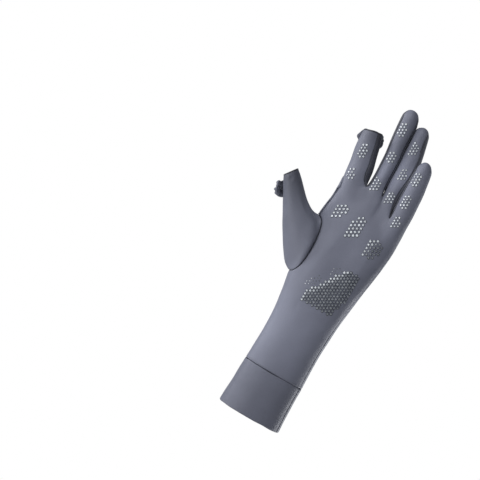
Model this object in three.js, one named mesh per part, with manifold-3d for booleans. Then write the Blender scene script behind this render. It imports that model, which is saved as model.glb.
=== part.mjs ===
// A thin stretch sun glove for the left hand, in the shape that it has when worn.
// Millimetres. +Z runs up the arm to the fingers, the palm faces -Y and the thumb points to -X.
// The origin is the centre of the cuff's open end.
//
// The glove is sewn from a palm panel, a back panel, three side strips between the fingers,
// a set-in thumb and a cuff band. The index finger and the thumb end in an open rim, and
// the fingertip cap of each is flipped over onto its back.

import * as THREE from 'three';
import { mergeVertices } from 'three/addons/utils/BufferGeometryUtils.js';
import Module from 'manifold-3d';

const wasm = await Module();
wasm.setup();

const CLOTH = 1.2;              // wall of the single knit
const CUFF_CLOTH = 2.0;         // the cuff band is folded double
const CAP_CLOTH = 1.0;
const SEAM_GAP = 0.5;           // between two sewn pieces
const LONGEST_MITRE = 4;        // how far a sharp corner may move, in halves of the gap
const CUFF_HEIGHT = 44.6;       // from the open end up to the cuff seam
const FABRIC_GREY = 0x686b76;

// The sleeve round forearm, wrist and palm, from the cuff's open end to the knuckles.
// left and right are its sides in X, palm and back its depths in Y. turn brings the little
// finger's side forward, and takes the thumb's side back, by that much.
const SLEEVE = [
  { z: 0, left: -30.5, right: 30.3, palm: 22.4, back: 23.4, turn: 0 },
  { z: 10, left: -30.0, right: 29.8, palm: 22.0, back: 23.0, turn: 0 },
  { z: 26, left: -29.3, right: 29.2, palm: 21.3, back: 22.3, turn: 0 },
  { z: 45, left: -28.9, right: 29.0, palm: 20.2, back: 21.4, turn: 0 },
  { z: 72, left: -28.2, right: 28.3, palm: 18.8, back: 19.8, turn: 0 },
  { z: 92, left: -28.6, right: 28.8, palm: 18.2, back: 18.8, turn: 0.2 },
  { z: 112, left: -31.0, right: 30.0, palm: 18.2, back: 17.8, turn: 0.6 },
  { z: 132, left: -34.3, right: 32.4, palm: 18.2, back: 16.8, turn: 1.2 },
  { z: 152, left: -35.9, right: 35.3, palm: 17.2, back: 15.6, turn: 1.8 },
  { z: 172, left: -36.3, right: 37.8, palm: 15.4, back: 14.6, turn: 2.4 },
  { z: 192, left: -35.7, right: 39.3, palm: 13.4, back: 13.8, turn: 2.9 },
  { z: 212, left: -33.4, right: 38.9, palm: 11.4, back: 12.6, turn: 3.2 },
  { z: 233, left: -33.4, right: 38.4, palm: 10.0, back: 11.0, turn: 3.4 },
];
const SQUARENESS = 2.35;        // of the sleeve's section: 2 is an ellipse
const SLEEVE_ROWS = 15;
const COLUMNS = 16;             // from side seam to side seam, on the palm and on the back

// The side seams, as angles round the sleeve: -90 is the palm, 180 the thumb's side.
// The little finger's seam shows on the palm at the wrist and runs out to the side above.
const THUMB_SIDE_SEAM = 180;
const LITTLE_SIDE_SEAM = { wrist: -26, knuckle: -6 };
const SEAM_TURNS = { from: 87, to: 202 };       // heights between which it does so
const COLUMNS_GATHER = { from: 92, to: 202 };   // and between which columns aim at the fingers
// How far below the finger roots the sleeve starts to take their shape.
const ROOT_BLEND = { palm: 24, back: 28 };

// Each finger's middle line and half sizes up its length. base is the height of its root on
// the palm, round the length of its dome, and rings the number of rings below the dome.
const FINGERS = {
  index: {
    base: 227, top: 277, open: true, rings: 5,
    line: [
      { z: 223, x: -22.9, y: 1.0, wide: 10.6, deep: 9.8 },
      { z: 242, x: -23.8, y: 1.0, wide: 11.4, deep: 9.3 },
      { z: 256, x: -26.7, y: 0.6, wide: 11.1, deep: 9.0 },
      { z: 267, x: -28.6, y: 0.1, wide: 10.3, deep: 8.7 },
      { z: 277, x: -30.5, y: -0.5, wide: 8.5, deep: 8.3 },
    ],
  },
  middle: {
    base: 230.5, top: 311.5, round: 9.5, rings: 6,
    line: [
      { z: 223, x: -2.6, y: 0.6, wide: 8.0, deep: 9.6 },
      { z: 242, x: -3.2, y: 0.3, wide: 7.3, deep: 9.0 },
      { z: 263, x: -4.0, y: 0.0, wide: 7.5, deep: 8.3 },
      { z: 278, x: -5.7, y: -1.0, wide: 7.8, deep: 8.1 },
      { z: 292, x: -6.8, y: -2.2, wide: 8.3, deep: 7.9 },
      { z: 303, x: -7.8, y: -3.2, wide: 8.1, deep: 7.6 },
      { z: 312, x: -8.6, y: -4.0, wide: 7.9, deep: 7.4 },
    ],
  },
  ring: {
    base: 225.5, top: 303, round: 9, rings: 6,
    line: [
      { z: 215, x: 12.8, y: -1.6, wide: 7.8, deep: 9.2 },
      { z: 237, x: 12.5, y: 0.6, wide: 7.9, deep: 8.4 },
      { z: 253, x: 12.6, y: 1.0, wide: 8.3, deep: 8.0 },
      { z: 269, x: 12.4, y: 0.9, wide: 9.2, deep: 7.9 },
      { z: 285, x: 10.4, y: -0.4, wide: 8.1, deep: 7.6 },
      { z: 295, x: 8.9, y: -1.6, wide: 7.2, deep: 7.3 },
      { z: 304, x: 7.8, y: -2.8, wide: 6.9, deep: 7.0 },
    ],
  },
  little: {
    base: 213.5, top: 276, round: 9.5, rings: 5,
    line: [
      { z: 205, x: 29.4, y: -5.6, wide: 9.1, deep: 9.2 },
      { z: 222, x: 29.0, y: -7.0, wide: 9.3, deep: 8.6 },
      { z: 235, x: 28.2, y: -8.8, wide: 9.2, deep: 8.0 },
      { z: 249, x: 27.4, y: -10.4, wide: 8.7, deep: 7.5 },
      { z: 263, x: 26.2, y: -12.0, wide: 7.8, deep: 7.0 },
      { z: 276, x: 24.9, y: -13.6, wide: 6.7, deep: 6.4 },
    ],
  },
};
const FINGER_NAMES = Object.keys(FINGERS);
const PALM_TURN = 12;           // degrees that a finger's palm side is turned to the thumb
const BACK_TURN = 6;
const STRIP_HALF = 45;          // half angle of a side strip round its finger
const DOME = [                  // the rings of a dome, by their angle up it, and the strip there
  { angle: 26, stripHalf: 32 },
  { angle: 50, stripHalf: 18 },
  { angle: 66, stripHalf: 20 },
];
const ROOT_FADE = 0.35;         // how much of the root's slope the first ring still has
const THUMB_SIDE_TOP = 222.5;   // where the palm ends below the index finger's outer side
const LITTLE_SIDE_TOP = 208.5;
const SIDE_ROUNDING = { angle: 22, rise: 0.8, share: 0.4 };

// The highest points of the cloth between two fingers. front and back are how far the seams
// on the palm and on the back lie below it, and half is how far they lie from it in Y.
const CROTCHES = [
  { x: -11.3, y: -0.2, z: 233.0, front: 1.6, back: 6.0, half: 6.6 },
  { x: 4.75, y: -0.6, z: 231.6, front: 1.6, back: 7.0, half: 6.6 },
  { x: 20.0, y: -4.0, z: 217.6, front: 1.6, back: 6.0, half: 6.5 },
];
const CROTCH_SHARES = [0.22, 0.5, 0.78];

// The set-in thumb. Its sewn edge on the hand goes from the crotch down the back to the heel
// and up the palm.
const THUMB_CROTCH = { x: -36.4, z: 188.6 };
const THUMB_SEAM_BACK = [
  { x: -34.4, z: 186.6 }, { x: -32.6, z: 181.6 }, { x: -31.6, z: 175.0 },
  { x: -31.1, z: 167.0 }, { x: -31.1, z: 159.0 }, { x: -31.4, z: 151.0 },
  { x: -32.0, z: 143.6 }, { x: -32.8, z: 137.6 }, { x: -33.6, z: 133.4 },
];
const THUMB_HEEL = { x: -35.0, z: 131.6 };
const THUMB_SEAM_PALM = [
  { x: -33.4, z: 132.2 }, { x: -31.2, z: 134.0 }, { x: -28.6, z: 138.8 },
  { x: -27.0, z: 146.4 }, { x: -26.5, z: 155.4 }, { x: -26.9, z: 164.4 },
  { x: -27.8, z: 173.2 }, { x: -29.2, z: 180.6 }, { x: -32.2, z: 186.4 },
];
const THUMB_SIDES = 20;
const THUMB_LAP = 0.5;          // the thumb's edge lies this far off the hand
const THUMB_HOLE_INSET = 1.8;   // and the hole in the hand this far inside that edge
const HOLE_DEPTH = { inside: -5, outside: 4 };
const HOLE_PEAK = { inside: 6, outside: -14 };
const THUMB_ROUNDNESS = 0.92;

// The thumb's rings, each further out. ux, uz and lx, lz are the upper and the lower point
// of its outline, y its middle, palm and back its depths, and lean how far its palm side
// bulges towards the palm.
const THUMB = [
  { ux: -39.5, uz: 188.8, lx: -40.4, lz: 135.6, y: 1.5, palm: 17.2, back: 12.0, lean: 9.5 },
  { ux: -45.0, uz: 190.2, lx: -47.0, lz: 144.0, y: 0.8, palm: 16.2, back: 12.2, lean: 7.0 },
  { ux: -51.0, uz: 193.8, lx: -54.3, lz: 155.2, y: -0.4, palm: 14.6, back: 11.6, lean: 4.0 },
  { ux: -57.2, uz: 199.4, lx: -61.3, lz: 166.6, y: -2.0, palm: 12.4, back: 10.8, lean: 2.0 },
  { ux: -63.4, uz: 205.9, lx: -68.1, lz: 178.6, y: -3.6, palm: 10.4, back: 9.8, lean: 0.8 },
  { ux: -68.8, uz: 211.2, lx: -74.8, lz: 190.6, y: -4.8, palm: 9.2, back: 9.0, lean: 0 },
  { ux: -72.6, uz: 214.4, lx: -81.2, lz: 202.8, y: -5.6, palm: 8.2, back: 8.2, lean: 0 },
];

// A flipped cap is a flattened pocket with its mouth up. Its rings run from the mouth to the
// fingertip: along is measured towards the hand and out from the finger's back, wide and
// deep are half sizes, and its two edges bend by bow round the finger.
const CAP_RINGS = [
  { along: -1.6, wide: 9.9, deep: 2.5, out: 3.3, bow: 3.6 },
  { along: 1.2, wide: 11.4, deep: 3.5, out: 4.3, bow: 4.6 },
  { along: 4.6, wide: 12.0, deep: 4.2, out: 5.0, bow: 4.8 },
  { along: 8.2, wide: 11.6, deep: 4.3, out: 5.1, bow: 4.0 },
  { along: 11.4, wide: 9.4, deep: 3.7, out: 4.5, bow: 2.2 },
  { along: 13.6, wide: 5.4, deep: 2.3, out: 3.3, bow: 0.8 },
];
const CAP_END = { along: 14.4, out: 3.0 };
const CAP_SIDES = 20;
const CAP_INNER_RINGS = 5;
const INDEX_CAP = { at: [-29.1, 7.6, 277], axis: [-0.08, -0.07, 0.99], out: [0, 1, 0], size: 1 };
const THUMB_CAP = {
  at: [-77.1, 0.5, 197.8], axis: [-0.47, -0.12, 0.87], out: [-0.62, 0.66, -0.34], size: 0.86,
};

const { clamp, degToRad, lerp, radToDeg, smoothstep } = THREE.MathUtils;
const vector = (x, y, z) => new THREE.Vector3(x, y, z);
const power = (value, exponent) => Math.sign(value) * Math.abs(value) ** exponent;
const nextOf = (list, k) => list[(k + 1) % list.length];
const between = (from, to, count) => (
  Array.from({ length: count }, (_, k) => lerp(from, to, (k + 1) / (count + 1)))
);

// The smooth value of one column of a table at height z, on cubic Hermite spans.
function along(table, z, column) {
  const end = table.length - 1;
  const at = clamp(z, table[0].z, table[end].z);
  let i = 0;
  while (i < end - 1 && at > table[i + 1].z) i += 1;
  const slope = (k) => {
    const low = table[Math.max(k - 1, 0)];
    const high = table[Math.min(k + 1, end)];
    return (high[column] - low[column]) / (high.z - low.z);
  };
  const span = table[i + 1].z - table[i].z;
  const u = (at - table[i].z) / span;
  const from = table[i][column];
  const to = table[i + 1][column];
  return (2 * u ** 3 - 3 * u ** 2 + 1) * from + (u ** 3 - 2 * u ** 2 + u) * span * slope(i)
    + (3 * u ** 2 - 2 * u ** 3) * to + (u ** 3 - u ** 2) * span * slope(i + 1);
}

// The sleeve's section at height z: its middle, half width, depths and turn.
function sleeveAt(z) {
  const left = along(SLEEVE, z, 'left');
  const right = along(SLEEVE, z, 'right');
  return {
    middle: (left + right) / 2,
    half: (right - left) / 2,
    palm: along(SLEEVE, z, 'palm'),
    back: along(SLEEVE, z, 'back'),
    turn: along(SLEEVE, z, 'turn'),
  };
}

function sleevePoint(z, angle) {
  const s = sleeveAt(z);
  const across = power(Math.cos(degToRad(angle)), 2 / SQUARENESS);
  const out = power(Math.sin(degToRad(angle)), 2 / SQUARENESS);
  const depth = out * (out < 0 ? s.palm : s.back);
  return vector(s.middle + across * s.half, depth - across * s.turn, z);
}

// The angle at which the sleeve has a given x; side is -1 for the palm and 1 for the back.
function sleeveAngle(z, x, side) {
  const s = sleeveAt(z);
  const across = clamp((x - s.middle) / s.half, -1, 1);
  return side * radToDeg(Math.acos(power(across, SQUARENESS / 2)));
}

// A point of the thumb's sewn edge, off the sleeve's surface by that much.
function seamPoint({ x, z }, side, off) {
  const p = sleevePoint(z, sleeveAngle(z, x, side));
  const s = sleeveAt(z);
  const depth = p.y < 0 ? s.palm : s.back;
  const out = vector((p.x - s.middle) / s.half ** 2, p.y / depth ** 2, 0);
  return p.addScaledVector(out.normalize(), off);
}

// A point round a finger at height z. In its dome the section shrinks towards the tip.
function fingerPoint(finger, z, angle) {
  const rise = finger.open ? 0 : clamp((z - finger.top) / finger.round + 1, 0, 1);
  const shrink = Math.sqrt(1 - rise ** 2);
  const across = Math.cos(degToRad(angle)) * along(finger.line, z, 'wide') * shrink;
  const depth = Math.sin(degToRad(angle)) * along(finger.line, z, 'deep') * shrink;
  return vector(along(finger.line, z, 'x') + across, along(finger.line, z, 'y') + depth, z);
}

// The hand's skin is one mesh whose points the panels share: a face names its panel.
const points = [];
const faces = [];
const addPoint = (p) => points.push(p) - 1;
const addFace = (panel, ...ids) => faces.push({ panel, ids });

// A finger takes four points of the root line, the first and last shared with its neighbour.
const rootColumn = (finger, k) => 2 + 3 * finger + k;

// The root line, where the palm or the back ends and the fingers start.
function rootLine(side) {
  const line = [];
  const turn = side < 0 ? PALM_TURN : BACK_TURN;
  FINGER_NAMES.forEach((name, i) => {
    const finger = FINGERS[name];
    for (let k = 0; k < 4; k += 1) {
      const angle = side * lerp(180 - STRIP_HALF, STRIP_HALF, k / 3) - turn;
      line[rootColumn(i, k)] = fingerPoint(finger, finger.base, angle);
    }
  });
  CROTCHES.forEach((c, i) => {
    const below = side < 0 ? c.front : c.back;
    line[rootColumn(i, 3)] = vector(c.x, c.y + side * c.half, c.z - below);
  });
  const { angle, rise, share } = SIDE_ROUNDING;
  const { index, little } = FINGERS;
  line[0] = fingerPoint(index, THUMB_SIDE_TOP, 180);
  line[1] = fingerPoint(index, THUMB_SIDE_TOP + rise, side * (180 - angle));
  line[2].z = lerp(index.base, THUMB_SIDE_TOP, share);
  line[COLUMNS - 2].z = lerp(little.base, LITTLE_SIDE_TOP, share);
  line[COLUMNS - 1] = fingerPoint(little, LITTLE_SIDE_TOP + rise, side * angle);
  line[COLUMNS] = fingerPoint(little, LITTLE_SIDE_TOP, 0);
  return line;
}

// A row of the sleeve on one side, a share of the way up from the cuff seam to the root line.
function sleeveRow(side, roots, share) {
  const blend = side < 0 ? ROOT_BLEND.palm : ROOT_BLEND.back;
  return roots.map((root, c) => {
    const z = lerp(CUFF_HEIGHT + SEAM_GAP, root.z, share);
    const bend = smoothstep(z, SEAM_TURNS.from, SEAM_TURNS.to);
    const seam = lerp(LITTLE_SIDE_SEAM.wrist, LITTLE_SIDE_SEAM.knuckle, bend);
    const even = lerp(side * THUMB_SIDE_SEAM, seam, c / COLUMNS);
    const aimed = c === COLUMNS ? seam : sleeveAngle(root.z, root.x, side);
    const gather = smoothstep(z, COLUMNS_GATHER.from, COLUMNS_GATHER.to);
    const p = sleevePoint(z, lerp(even, aimed, gather));
    const take = smoothstep(z, root.z - blend, root.z);
    return vector(lerp(p.x, root.x, take), lerp(p.y, root.y, take), z);
  });
}

// The sleeve's faces. Returns the point numbers of the root line on the palm and the back.
function addSleeve() {
  const palmRoots = rootLine(-1);
  const backRoots = rootLine(1);
  let low = null;
  for (let r = 0; r <= SLEEVE_ROWS; r += 1) {
    const share = r / SLEEVE_ROWS;
    const palm = sleeveRow(-1, palmRoots, share).map(addPoint);
    const middle = sleeveRow(1, backRoots, share).slice(1, -1).map(addPoint);
    const back = [palm[0], ...middle, palm[COLUMNS]];
    for (let c = 0; low && c < COLUMNS; c += 1) {
      addFace('palm_panel', low.palm[c], low.palm[c + 1], palm[c + 1], palm[c]);
      addFace('back_panel', low.back[c + 1], low.back[c], back[c], back[c + 1]);
    }
    low = { palm, back };
  }
  return low;
}

// The points between a crotch's seam on the palm and its seam on the back.
function addCrotch(crotch, frontId, backId) {
  return CROTCH_SHARES.map((share) => {
    const p = points[frontId].clone().lerp(points[backId], share);
    p.z = lerp(p.z, crotch.z, Math.sin(Math.PI * share));
    return addPoint(p);
  });
}

// The fourteen angles of a finger's ring: palm side, little side, back and thumb side.
// half is the half angle of its side strips, which narrow in the dome.
function ringAngles(half) {
  const palm = [half - 180, -half].map((angle) => angle - PALM_TURN);
  const back = [half, 180 - half].map((angle) => angle - BACK_TURN);
  return [
    palm[0], ...between(palm[0], palm[1], 2), palm[1], ...between(palm[1], back[0], 3),
    back[0], ...between(back[0], back[1], 2), back[1], ...between(back[1], palm[0] + 360, 3),
  ];
}

// The panel of each of a ring's fourteen sides. A side with no strip is halved by its seam.
function ringPanels(i, stripsEnd) {
  const littleStrip = !stripsEnd && i < 3 ? `side_strip_${i + 1}` : null;
  const thumbStrip = !stripsEnd && i > 0 ? `side_strip_${i}` : null;
  return [
    ...Array(3).fill('palm_panel'),
    ...Array(2).fill(littleStrip ?? 'palm_panel'), ...Array(2).fill(littleStrip ?? 'back_panel'),
    ...Array(3).fill('back_panel'),
    ...Array(2).fill(thumbStrip ?? 'back_panel'), ...Array(2).fill(thumbStrip ?? 'palm_panel'),
  ];
}

// The rings of a finger above its root loop, then its dome if it has one.
function addFinger(i, root) {
  const finger = FINGERS[FINGER_NAMES[i]];
  const straight = finger.open ? finger.top : finger.top - finger.round;
  const slopes = root.map((id) => points[id].z - finger.base);
  let ring = root;
  const addRing = (z, half, keep, stripsEnd) => {
    const next = ringAngles(half).map((angle, k) => {
      const p = fingerPoint(finger, z, angle);
      p.z += keep * slopes[k];
      return addPoint(p);
    });
    const panels = ringPanels(i, stripsEnd);
    ring.forEach((id, k) => addFace(panels[k], id, nextOf(ring, k), nextOf(next, k), next[k]));
    ring = next;
  };
  for (let r = 1; r <= finger.rings; r += 1) {
    const keep = r === 1 ? ROOT_FADE : 0;
    addRing(lerp(finger.base, straight, r / finger.rings), STRIP_HALF, keep, false);
  }
  if (finger.open) return;
  DOME.forEach(({ angle, stripHalf }, r) => {
    const z = straight + finger.round * Math.sin(degToRad(angle));
    addRing(z, stripHalf, 0, r > 1);
  });
  const pole = addPoint(fingerPoint(finger, finger.top, 0));
  const panels = ringPanels(i, true);
  ring.forEach((id, k) => addFace(panels[k], id, nextOf(ring, k), pole));
}

function addFingers({ palm, back }) {
  const crotches = CROTCHES.map((crotch, i) => (
    addCrotch(crotch, palm[rootColumn(i, 3)], back[rootColumn(i, 3)])
  ));
  FINGER_NAMES.forEach((_, i) => {
    const front = [0, 1, 2, 3].map((k) => palm[rootColumn(i, k)]);
    const rear = [3, 2, 1, 0].map((k) => back[rootColumn(i, k)]);
    const little = i < 3 ? crotches[i] : [palm[COLUMNS - 1], palm[COLUMNS], back[COLUMNS - 1]];
    const thumb = i > 0 ? [...crotches[i - 1]].reverse() : [back[1], palm[0], palm[1]];
    addFinger(i, [...front, ...little, ...rear, ...thumb]);
  });
}

// The outward normal at each point of a list of faces.
function pointNormals(list, pts) {
  const normals = pts.map(() => vector(0, 0, 0));
  for (const { ids } of list) {
    for (let k = 1; k < ids.length - 1; k += 1) {
      const u = pts[ids[k]].clone().sub(pts[ids[0]]);
      const v = pts[ids[k + 1]].clone().sub(pts[ids[0]]);
      const n = u.cross(v);
      for (const id of [ids[0], ids[k], ids[k + 1]]) normals[id].add(n);
    }
  }
  return normals.map((n) => n.normalize());
}

// The directed sides along the open edges of a list of faces.
function openEdge(list) {
  const sides = new Map();
  for (const { ids } of list) {
    ids.forEach((id, k) => {
      const next = nextOf(ids, k);
      if (!sides.delete(`${next},${id}`)) sides.set(`${id},${next}`, [id, next]);
    });
  }
  return [...sides.values()];
}

// How each point of an open edge moves into its panel, square to the two sides that meet
// there, to leave one unit free along both.
function edgeMoves(edge, pts, normals) {
  const squares = new Map();
  for (const [from, to] of edge) {
    const run = pts[to].clone().sub(pts[from]);
    for (const id of [from, to]) {
      const square = normals[id].clone().cross(run).normalize();
      squares.set(id, [...(squares.get(id) ?? []), square]);
    }
  }
  const moves = new Map();
  squares.forEach((pair, id) => {
    const bisector = pair.reduce((sum, square) => sum.add(square), vector(0, 0, 0)).normalize();
    moves.set(id, bisector.divideScalar(Math.max(bisector.dot(pair[0]), 1 / LONGEST_MITRE)));
  });
  return moves;
}

function indexedGeometry(positions, triangles) {
  return new THREE.BufferGeometry()
    .setAttribute('position', new THREE.Float32BufferAttribute(positions, 3))
    .setIndex(triangles);
}

// A closed wall of cloth from a list of outward faces: its outside, its inside and its rims.
function clothGeometry(list, pts, normals, thickness, gap) {
  const edge = openEdge(list);
  const moves = edgeMoves(edge, pts, normals);
  const numbers = new Map();
  const positions = [];
  const place = (id, depth) => {
    const key = `${id},${depth}`;
    if (!numbers.has(key)) {
      const p = pts[id].clone();
      if (moves.has(id)) p.addScaledVector(moves.get(id), gap / 2);
      p.addScaledVector(normals[id], -depth);
      numbers.set(key, positions.length / 3);
      positions.push(...p);
    }
    return numbers.get(key);
  };
  const triangles = [];
  for (const { ids } of list) {
    for (let k = 1; k < ids.length - 1; k += 1) {
      const [a, b, c] = [ids[0], ids[k], ids[k + 1]];
      triangles.push(place(a, 0), place(b, 0), place(c, 0));
      triangles.push(place(a, thickness), place(c, thickness), place(b, thickness));
    }
  }
  // The two panels of a seam split its rim along the same diagonal, so that they stay apart.
  for (const [from, to] of edge) {
    const corners = [place(to, 0), place(from, 0), place(from, thickness), place(to, thickness)];
    const [a, b, c, d] = from < to ? corners : [...corners.slice(1), corners[0]];
    triangles.push(a, b, c, a, c, d);
  }
  return indexedGeometry(positions, triangles);
}

function toSolid(geometry) {
  const merged = mergeVertices(geometry);
  return new wasm.Manifold(new wasm.Mesh({
    numProp: 3,
    vertProperties: merged.attributes.position.array,
    triVerts: new Uint32Array(merged.index.array),
  }));
}

function toGeometry(solid) {
  const mesh = solid.getMesh();
  return indexedGeometry([...mesh.vertProperties], [...mesh.triVerts]);
}

// Faces between rings of point numbers, each anticlockwise as seen from its far end.
function ringFaces(rings) {
  return rings.slice(1).flatMap((ring, r) => ring.map((id, k) => ({
    ids: [rings[r][k], nextOf(rings[r], k), nextOf(ring, k), id],
  })));
}

// A closed body from rings of points, with one more point to close it at either end.
function closedGeometry(start, rings, end) {
  const pts = [start, end];
  const numbered = rings.map((ring) => ring.map((p) => pts.push(p) - 1));
  const [first, final] = [numbered[0], numbered[numbered.length - 1]];
  const triangles = [
    ...first.flatMap((id, k) => [nextOf(first, k), id, 0]),
    ...ringFaces(numbered).flatMap(({ ids: [a, b, c, d] }) => [a, b, c, a, c, d]),
    ...final.flatMap((id, k) => [id, nextOf(final, k), 1]),
  ];
  return indexedGeometry(pts.flatMap((p) => [...p]), triangles);
}

const thumbSeam = (off) => [
  seamPoint(THUMB_CROTCH, -1, off),
  ...THUMB_SEAM_BACK.map((at) => seamPoint(at, 1, off)),
  seamPoint(THUMB_HEEL, -1, off),
  ...THUMB_SEAM_PALM.map((at) => seamPoint(at, -1, off)),
];

function thumbRing(row) {
  const upper = vector(row.ux, row.y, row.uz);
  const lower = vector(row.lx, row.y, row.lz);
  const middle = upper.clone().lerp(lower, 0.5);
  const half = upper.sub(middle);
  return Array.from({ length: THUMB_SIDES }, (_, k) => {
    const turn = 2 * Math.PI * k / THUMB_SIDES;
    const p = middle.clone().addScaledVector(half, power(Math.cos(turn), THUMB_ROUNDNESS));
    const bulge = Math.sin(turn);
    p.y += bulge * (bulge > 0 ? row.back : row.palm);
    p.x += Math.max(-bulge, 0) * row.lean;
    return p;
  });
}

function thumbGeometry() {
  const pts = [];
  const rings = [thumbSeam(CLOTH + THUMB_LAP), ...THUMB.map(thumbRing)]
    .map((ring) => ring.map((p) => pts.push(p) - 1));
  const list = ringFaces(rings);
  return clothGeometry(list, pts, pointNormals(list, pts), CLOTH, 0);
}

// What is cut from the hand for the thumb: the patch inside its seam, from inside the sleeve
// to outside it.
function thumbHole() {
  const centreOf = (ring) => ring
    .reduce((sum, p) => sum.add(p), vector(0, 0, 0))
    .divideScalar(ring.length);
  const inset = (ring) => {
    const centre = centreOf(ring);
    return ring.map((p) => p.addScaledVector(centre.clone().sub(p).normalize(), THUMB_HOLE_INSET));
  };
  const inner = inset(thumbSeam(HOLE_DEPTH.inside));
  const outer = inset(thumbSeam(HOLE_DEPTH.outside));
  const start = centreOf(inner).add(vector(HOLE_PEAK.inside, 0, 0));
  const end = centreOf(outer).add(vector(HOLE_PEAK.outside, 0, 0));
  return toSolid(closedGeometry(start, [inner, outer], end));
}

function cuffGeometry() {
  const seam = LITTLE_SIDE_SEAM.wrist;
  const palm = between(-THUMB_SIDE_SEAM, seam, COLUMNS - 1);
  const back = between(seam, THUMB_SIDE_SEAM, COLUMNS - 1);
  const angles = [-THUMB_SIDE_SEAM, ...palm, seam, ...back];
  const pts = [];
  const rings = [0, 0.25, 0.5, 0.75, 1].map((share) => (
    angles.map((angle) => pts.push(sleevePoint(share * CUFF_HEIGHT, angle)) - 1)
  ));
  const list = ringFaces(rings);
  return clothGeometry(list, pts, pointNormals(list, pts), CUFF_CLOTH, 0);
}

// A flipped cap in its own frame: +X across the finger, +Y out from its back, -Z to the hand.
function capGeometry() {
  const ring = (row, wall) => Array.from({ length: CAP_SIDES }, (_, k) => {
    const turn = 2 * Math.PI * k / CAP_SIDES;
    const across = Math.cos(turn);
    const depth = Math.sin(turn) * (row.deep - wall) - row.bow * across ** 2;
    return vector(across * (row.wide - wall), row.out + depth, -row.along);
  });
  const outside = [...CAP_RINGS].reverse().map((row) => ring(row, 0));
  const inside = CAP_RINGS.slice(0, CAP_INNER_RINGS).map((row) => ring(row, CAP_CLOTH));
  const floorRow = CAP_RINGS[CAP_INNER_RINGS - 1];
  const end = vector(0, CAP_END.out, -CAP_END.along);
  const floor = vector(0, floorRow.out, -floorRow.along - CAP_CLOTH);
  return closedGeometry(end, [...outside, ...inside], floor);
}

const glove = new THREE.Group();

function addPiece(name, geometry) {
  const material = new THREE.MeshStandardMaterial({
    color: FABRIC_GREY,
    roughness: 0.75,
    metalness: 0,
  });
  const mesh = new THREE.Mesh(geometry, material);
  mesh.name = name;
  glove.add(mesh);
  return mesh;
}

function addCap(name, { at, axis, out, size }) {
  const up = vector(...axis).normalize();
  const back = vector(...out);
  back.addScaledVector(up, -back.dot(up)).normalize();
  const cap = addPiece(name, capGeometry());
  cap.setRotationFromMatrix(new THREE.Matrix4().makeBasis(back.clone().cross(up), back, up));
  cap.position.set(...at);
  cap.scale.setScalar(size);
}

addFingers(addSleeve());
const skinNormals = pointNormals(faces, points);
const panelWall = (panel) => {
  const list = faces.filter((face) => face.panel === panel);
  return clothGeometry(list, points, skinNormals, CLOTH, SEAM_GAP);
};

const hole = thumbHole();
for (const panel of ['palm_panel', 'back_panel']) {
  addPiece(panel, toGeometry(toSolid(panelWall(panel)).subtract(hole)));
}
for (const strip of ['side_strip_1', 'side_strip_2', 'side_strip_3']) {
  addPiece(strip, panelWall(strip));
}
addPiece('thumb', thumbGeometry());
addPiece('cuff_band', cuffGeometry());
addCap('index_cap', INDEX_CAP);
addCap('thumb_cap', THUMB_CAP);

export default glove;
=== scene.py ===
"""A thin stretch sun glove for the left hand, in the shape that it has when worn.

+Z runs from the cuff to the fingers, the palm faces -Y and the thumb points to -X. The tables
and the meshes are in millimetres until a piece is finished, and in metres from then on.
"""

import math
import random

import bmesh
import bpy
import numpy as np
from mathutils import Matrix, Vector, noise
from mathutils.bvhtree import BVHTree
from mathutils.kdtree import KDTree


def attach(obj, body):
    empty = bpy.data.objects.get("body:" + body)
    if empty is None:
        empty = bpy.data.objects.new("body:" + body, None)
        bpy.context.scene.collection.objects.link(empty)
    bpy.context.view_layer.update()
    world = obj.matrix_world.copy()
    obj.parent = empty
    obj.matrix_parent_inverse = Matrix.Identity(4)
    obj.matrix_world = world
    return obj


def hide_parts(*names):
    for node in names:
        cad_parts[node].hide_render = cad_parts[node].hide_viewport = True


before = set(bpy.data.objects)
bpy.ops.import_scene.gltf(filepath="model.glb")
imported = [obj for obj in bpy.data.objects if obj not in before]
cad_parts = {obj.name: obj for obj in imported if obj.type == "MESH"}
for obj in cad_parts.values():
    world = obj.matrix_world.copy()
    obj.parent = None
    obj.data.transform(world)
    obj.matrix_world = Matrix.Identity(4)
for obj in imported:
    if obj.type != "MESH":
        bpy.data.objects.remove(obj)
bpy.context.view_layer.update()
random.seed(7)

MM = 0.001
COLLECTION = bpy.context.scene.collection
WALL = 0.9

# The sleeve from the cuff to the fingers: height, left and right side in X, depths to the palm
# and to the back, and how far the little finger's side is turned forward.
SLEEVE = [
    (0, -30.5, 30.3, 22.4, 23.4, 0),
    (10, -30.0, 29.8, 22.0, 23.0, 0),
    (26, -29.3, 29.2, 21.3, 22.3, 0),
    (45, -28.9, 29.0, 20.2, 21.4, 0),
    (72, -28.2, 28.3, 18.8, 19.8, 0),
    (92, -28.6, 28.8, 18.2, 18.8, 0.2),
    (112, -31.0, 30.0, 18.2, 17.8, 0.6),
    (132, -34.3, 32.4, 18.2, 16.8, 1.2),
    (152, -35.9, 35.3, 17.2, 15.6, 1.8),
    (172, -36.3, 37.8, 15.4, 14.6, 2.4),
    (192, -35.7, 39.3, 13.4, 13.8, 2.9),
    (212, -33.4, 38.9, 11.4, 12.6, 3.2),
    (233, -33.4, 38.4, 10.0, 11.0, 3.4),
]
SQUARENESS = 2.35
SLEEVE_ROWS = 24
COLUMNS = 16
SLEEVE_START = 45.0
THUMB_SIDE_SEAM = 180
LITTLE_SIDE_SEAM = (-26, -6)
SEAM_TURNS = (87, 202)
COLUMNS_GATHER = (92, 202)
ROOT_BLEND = {-1: 24, 1: 28}

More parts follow.
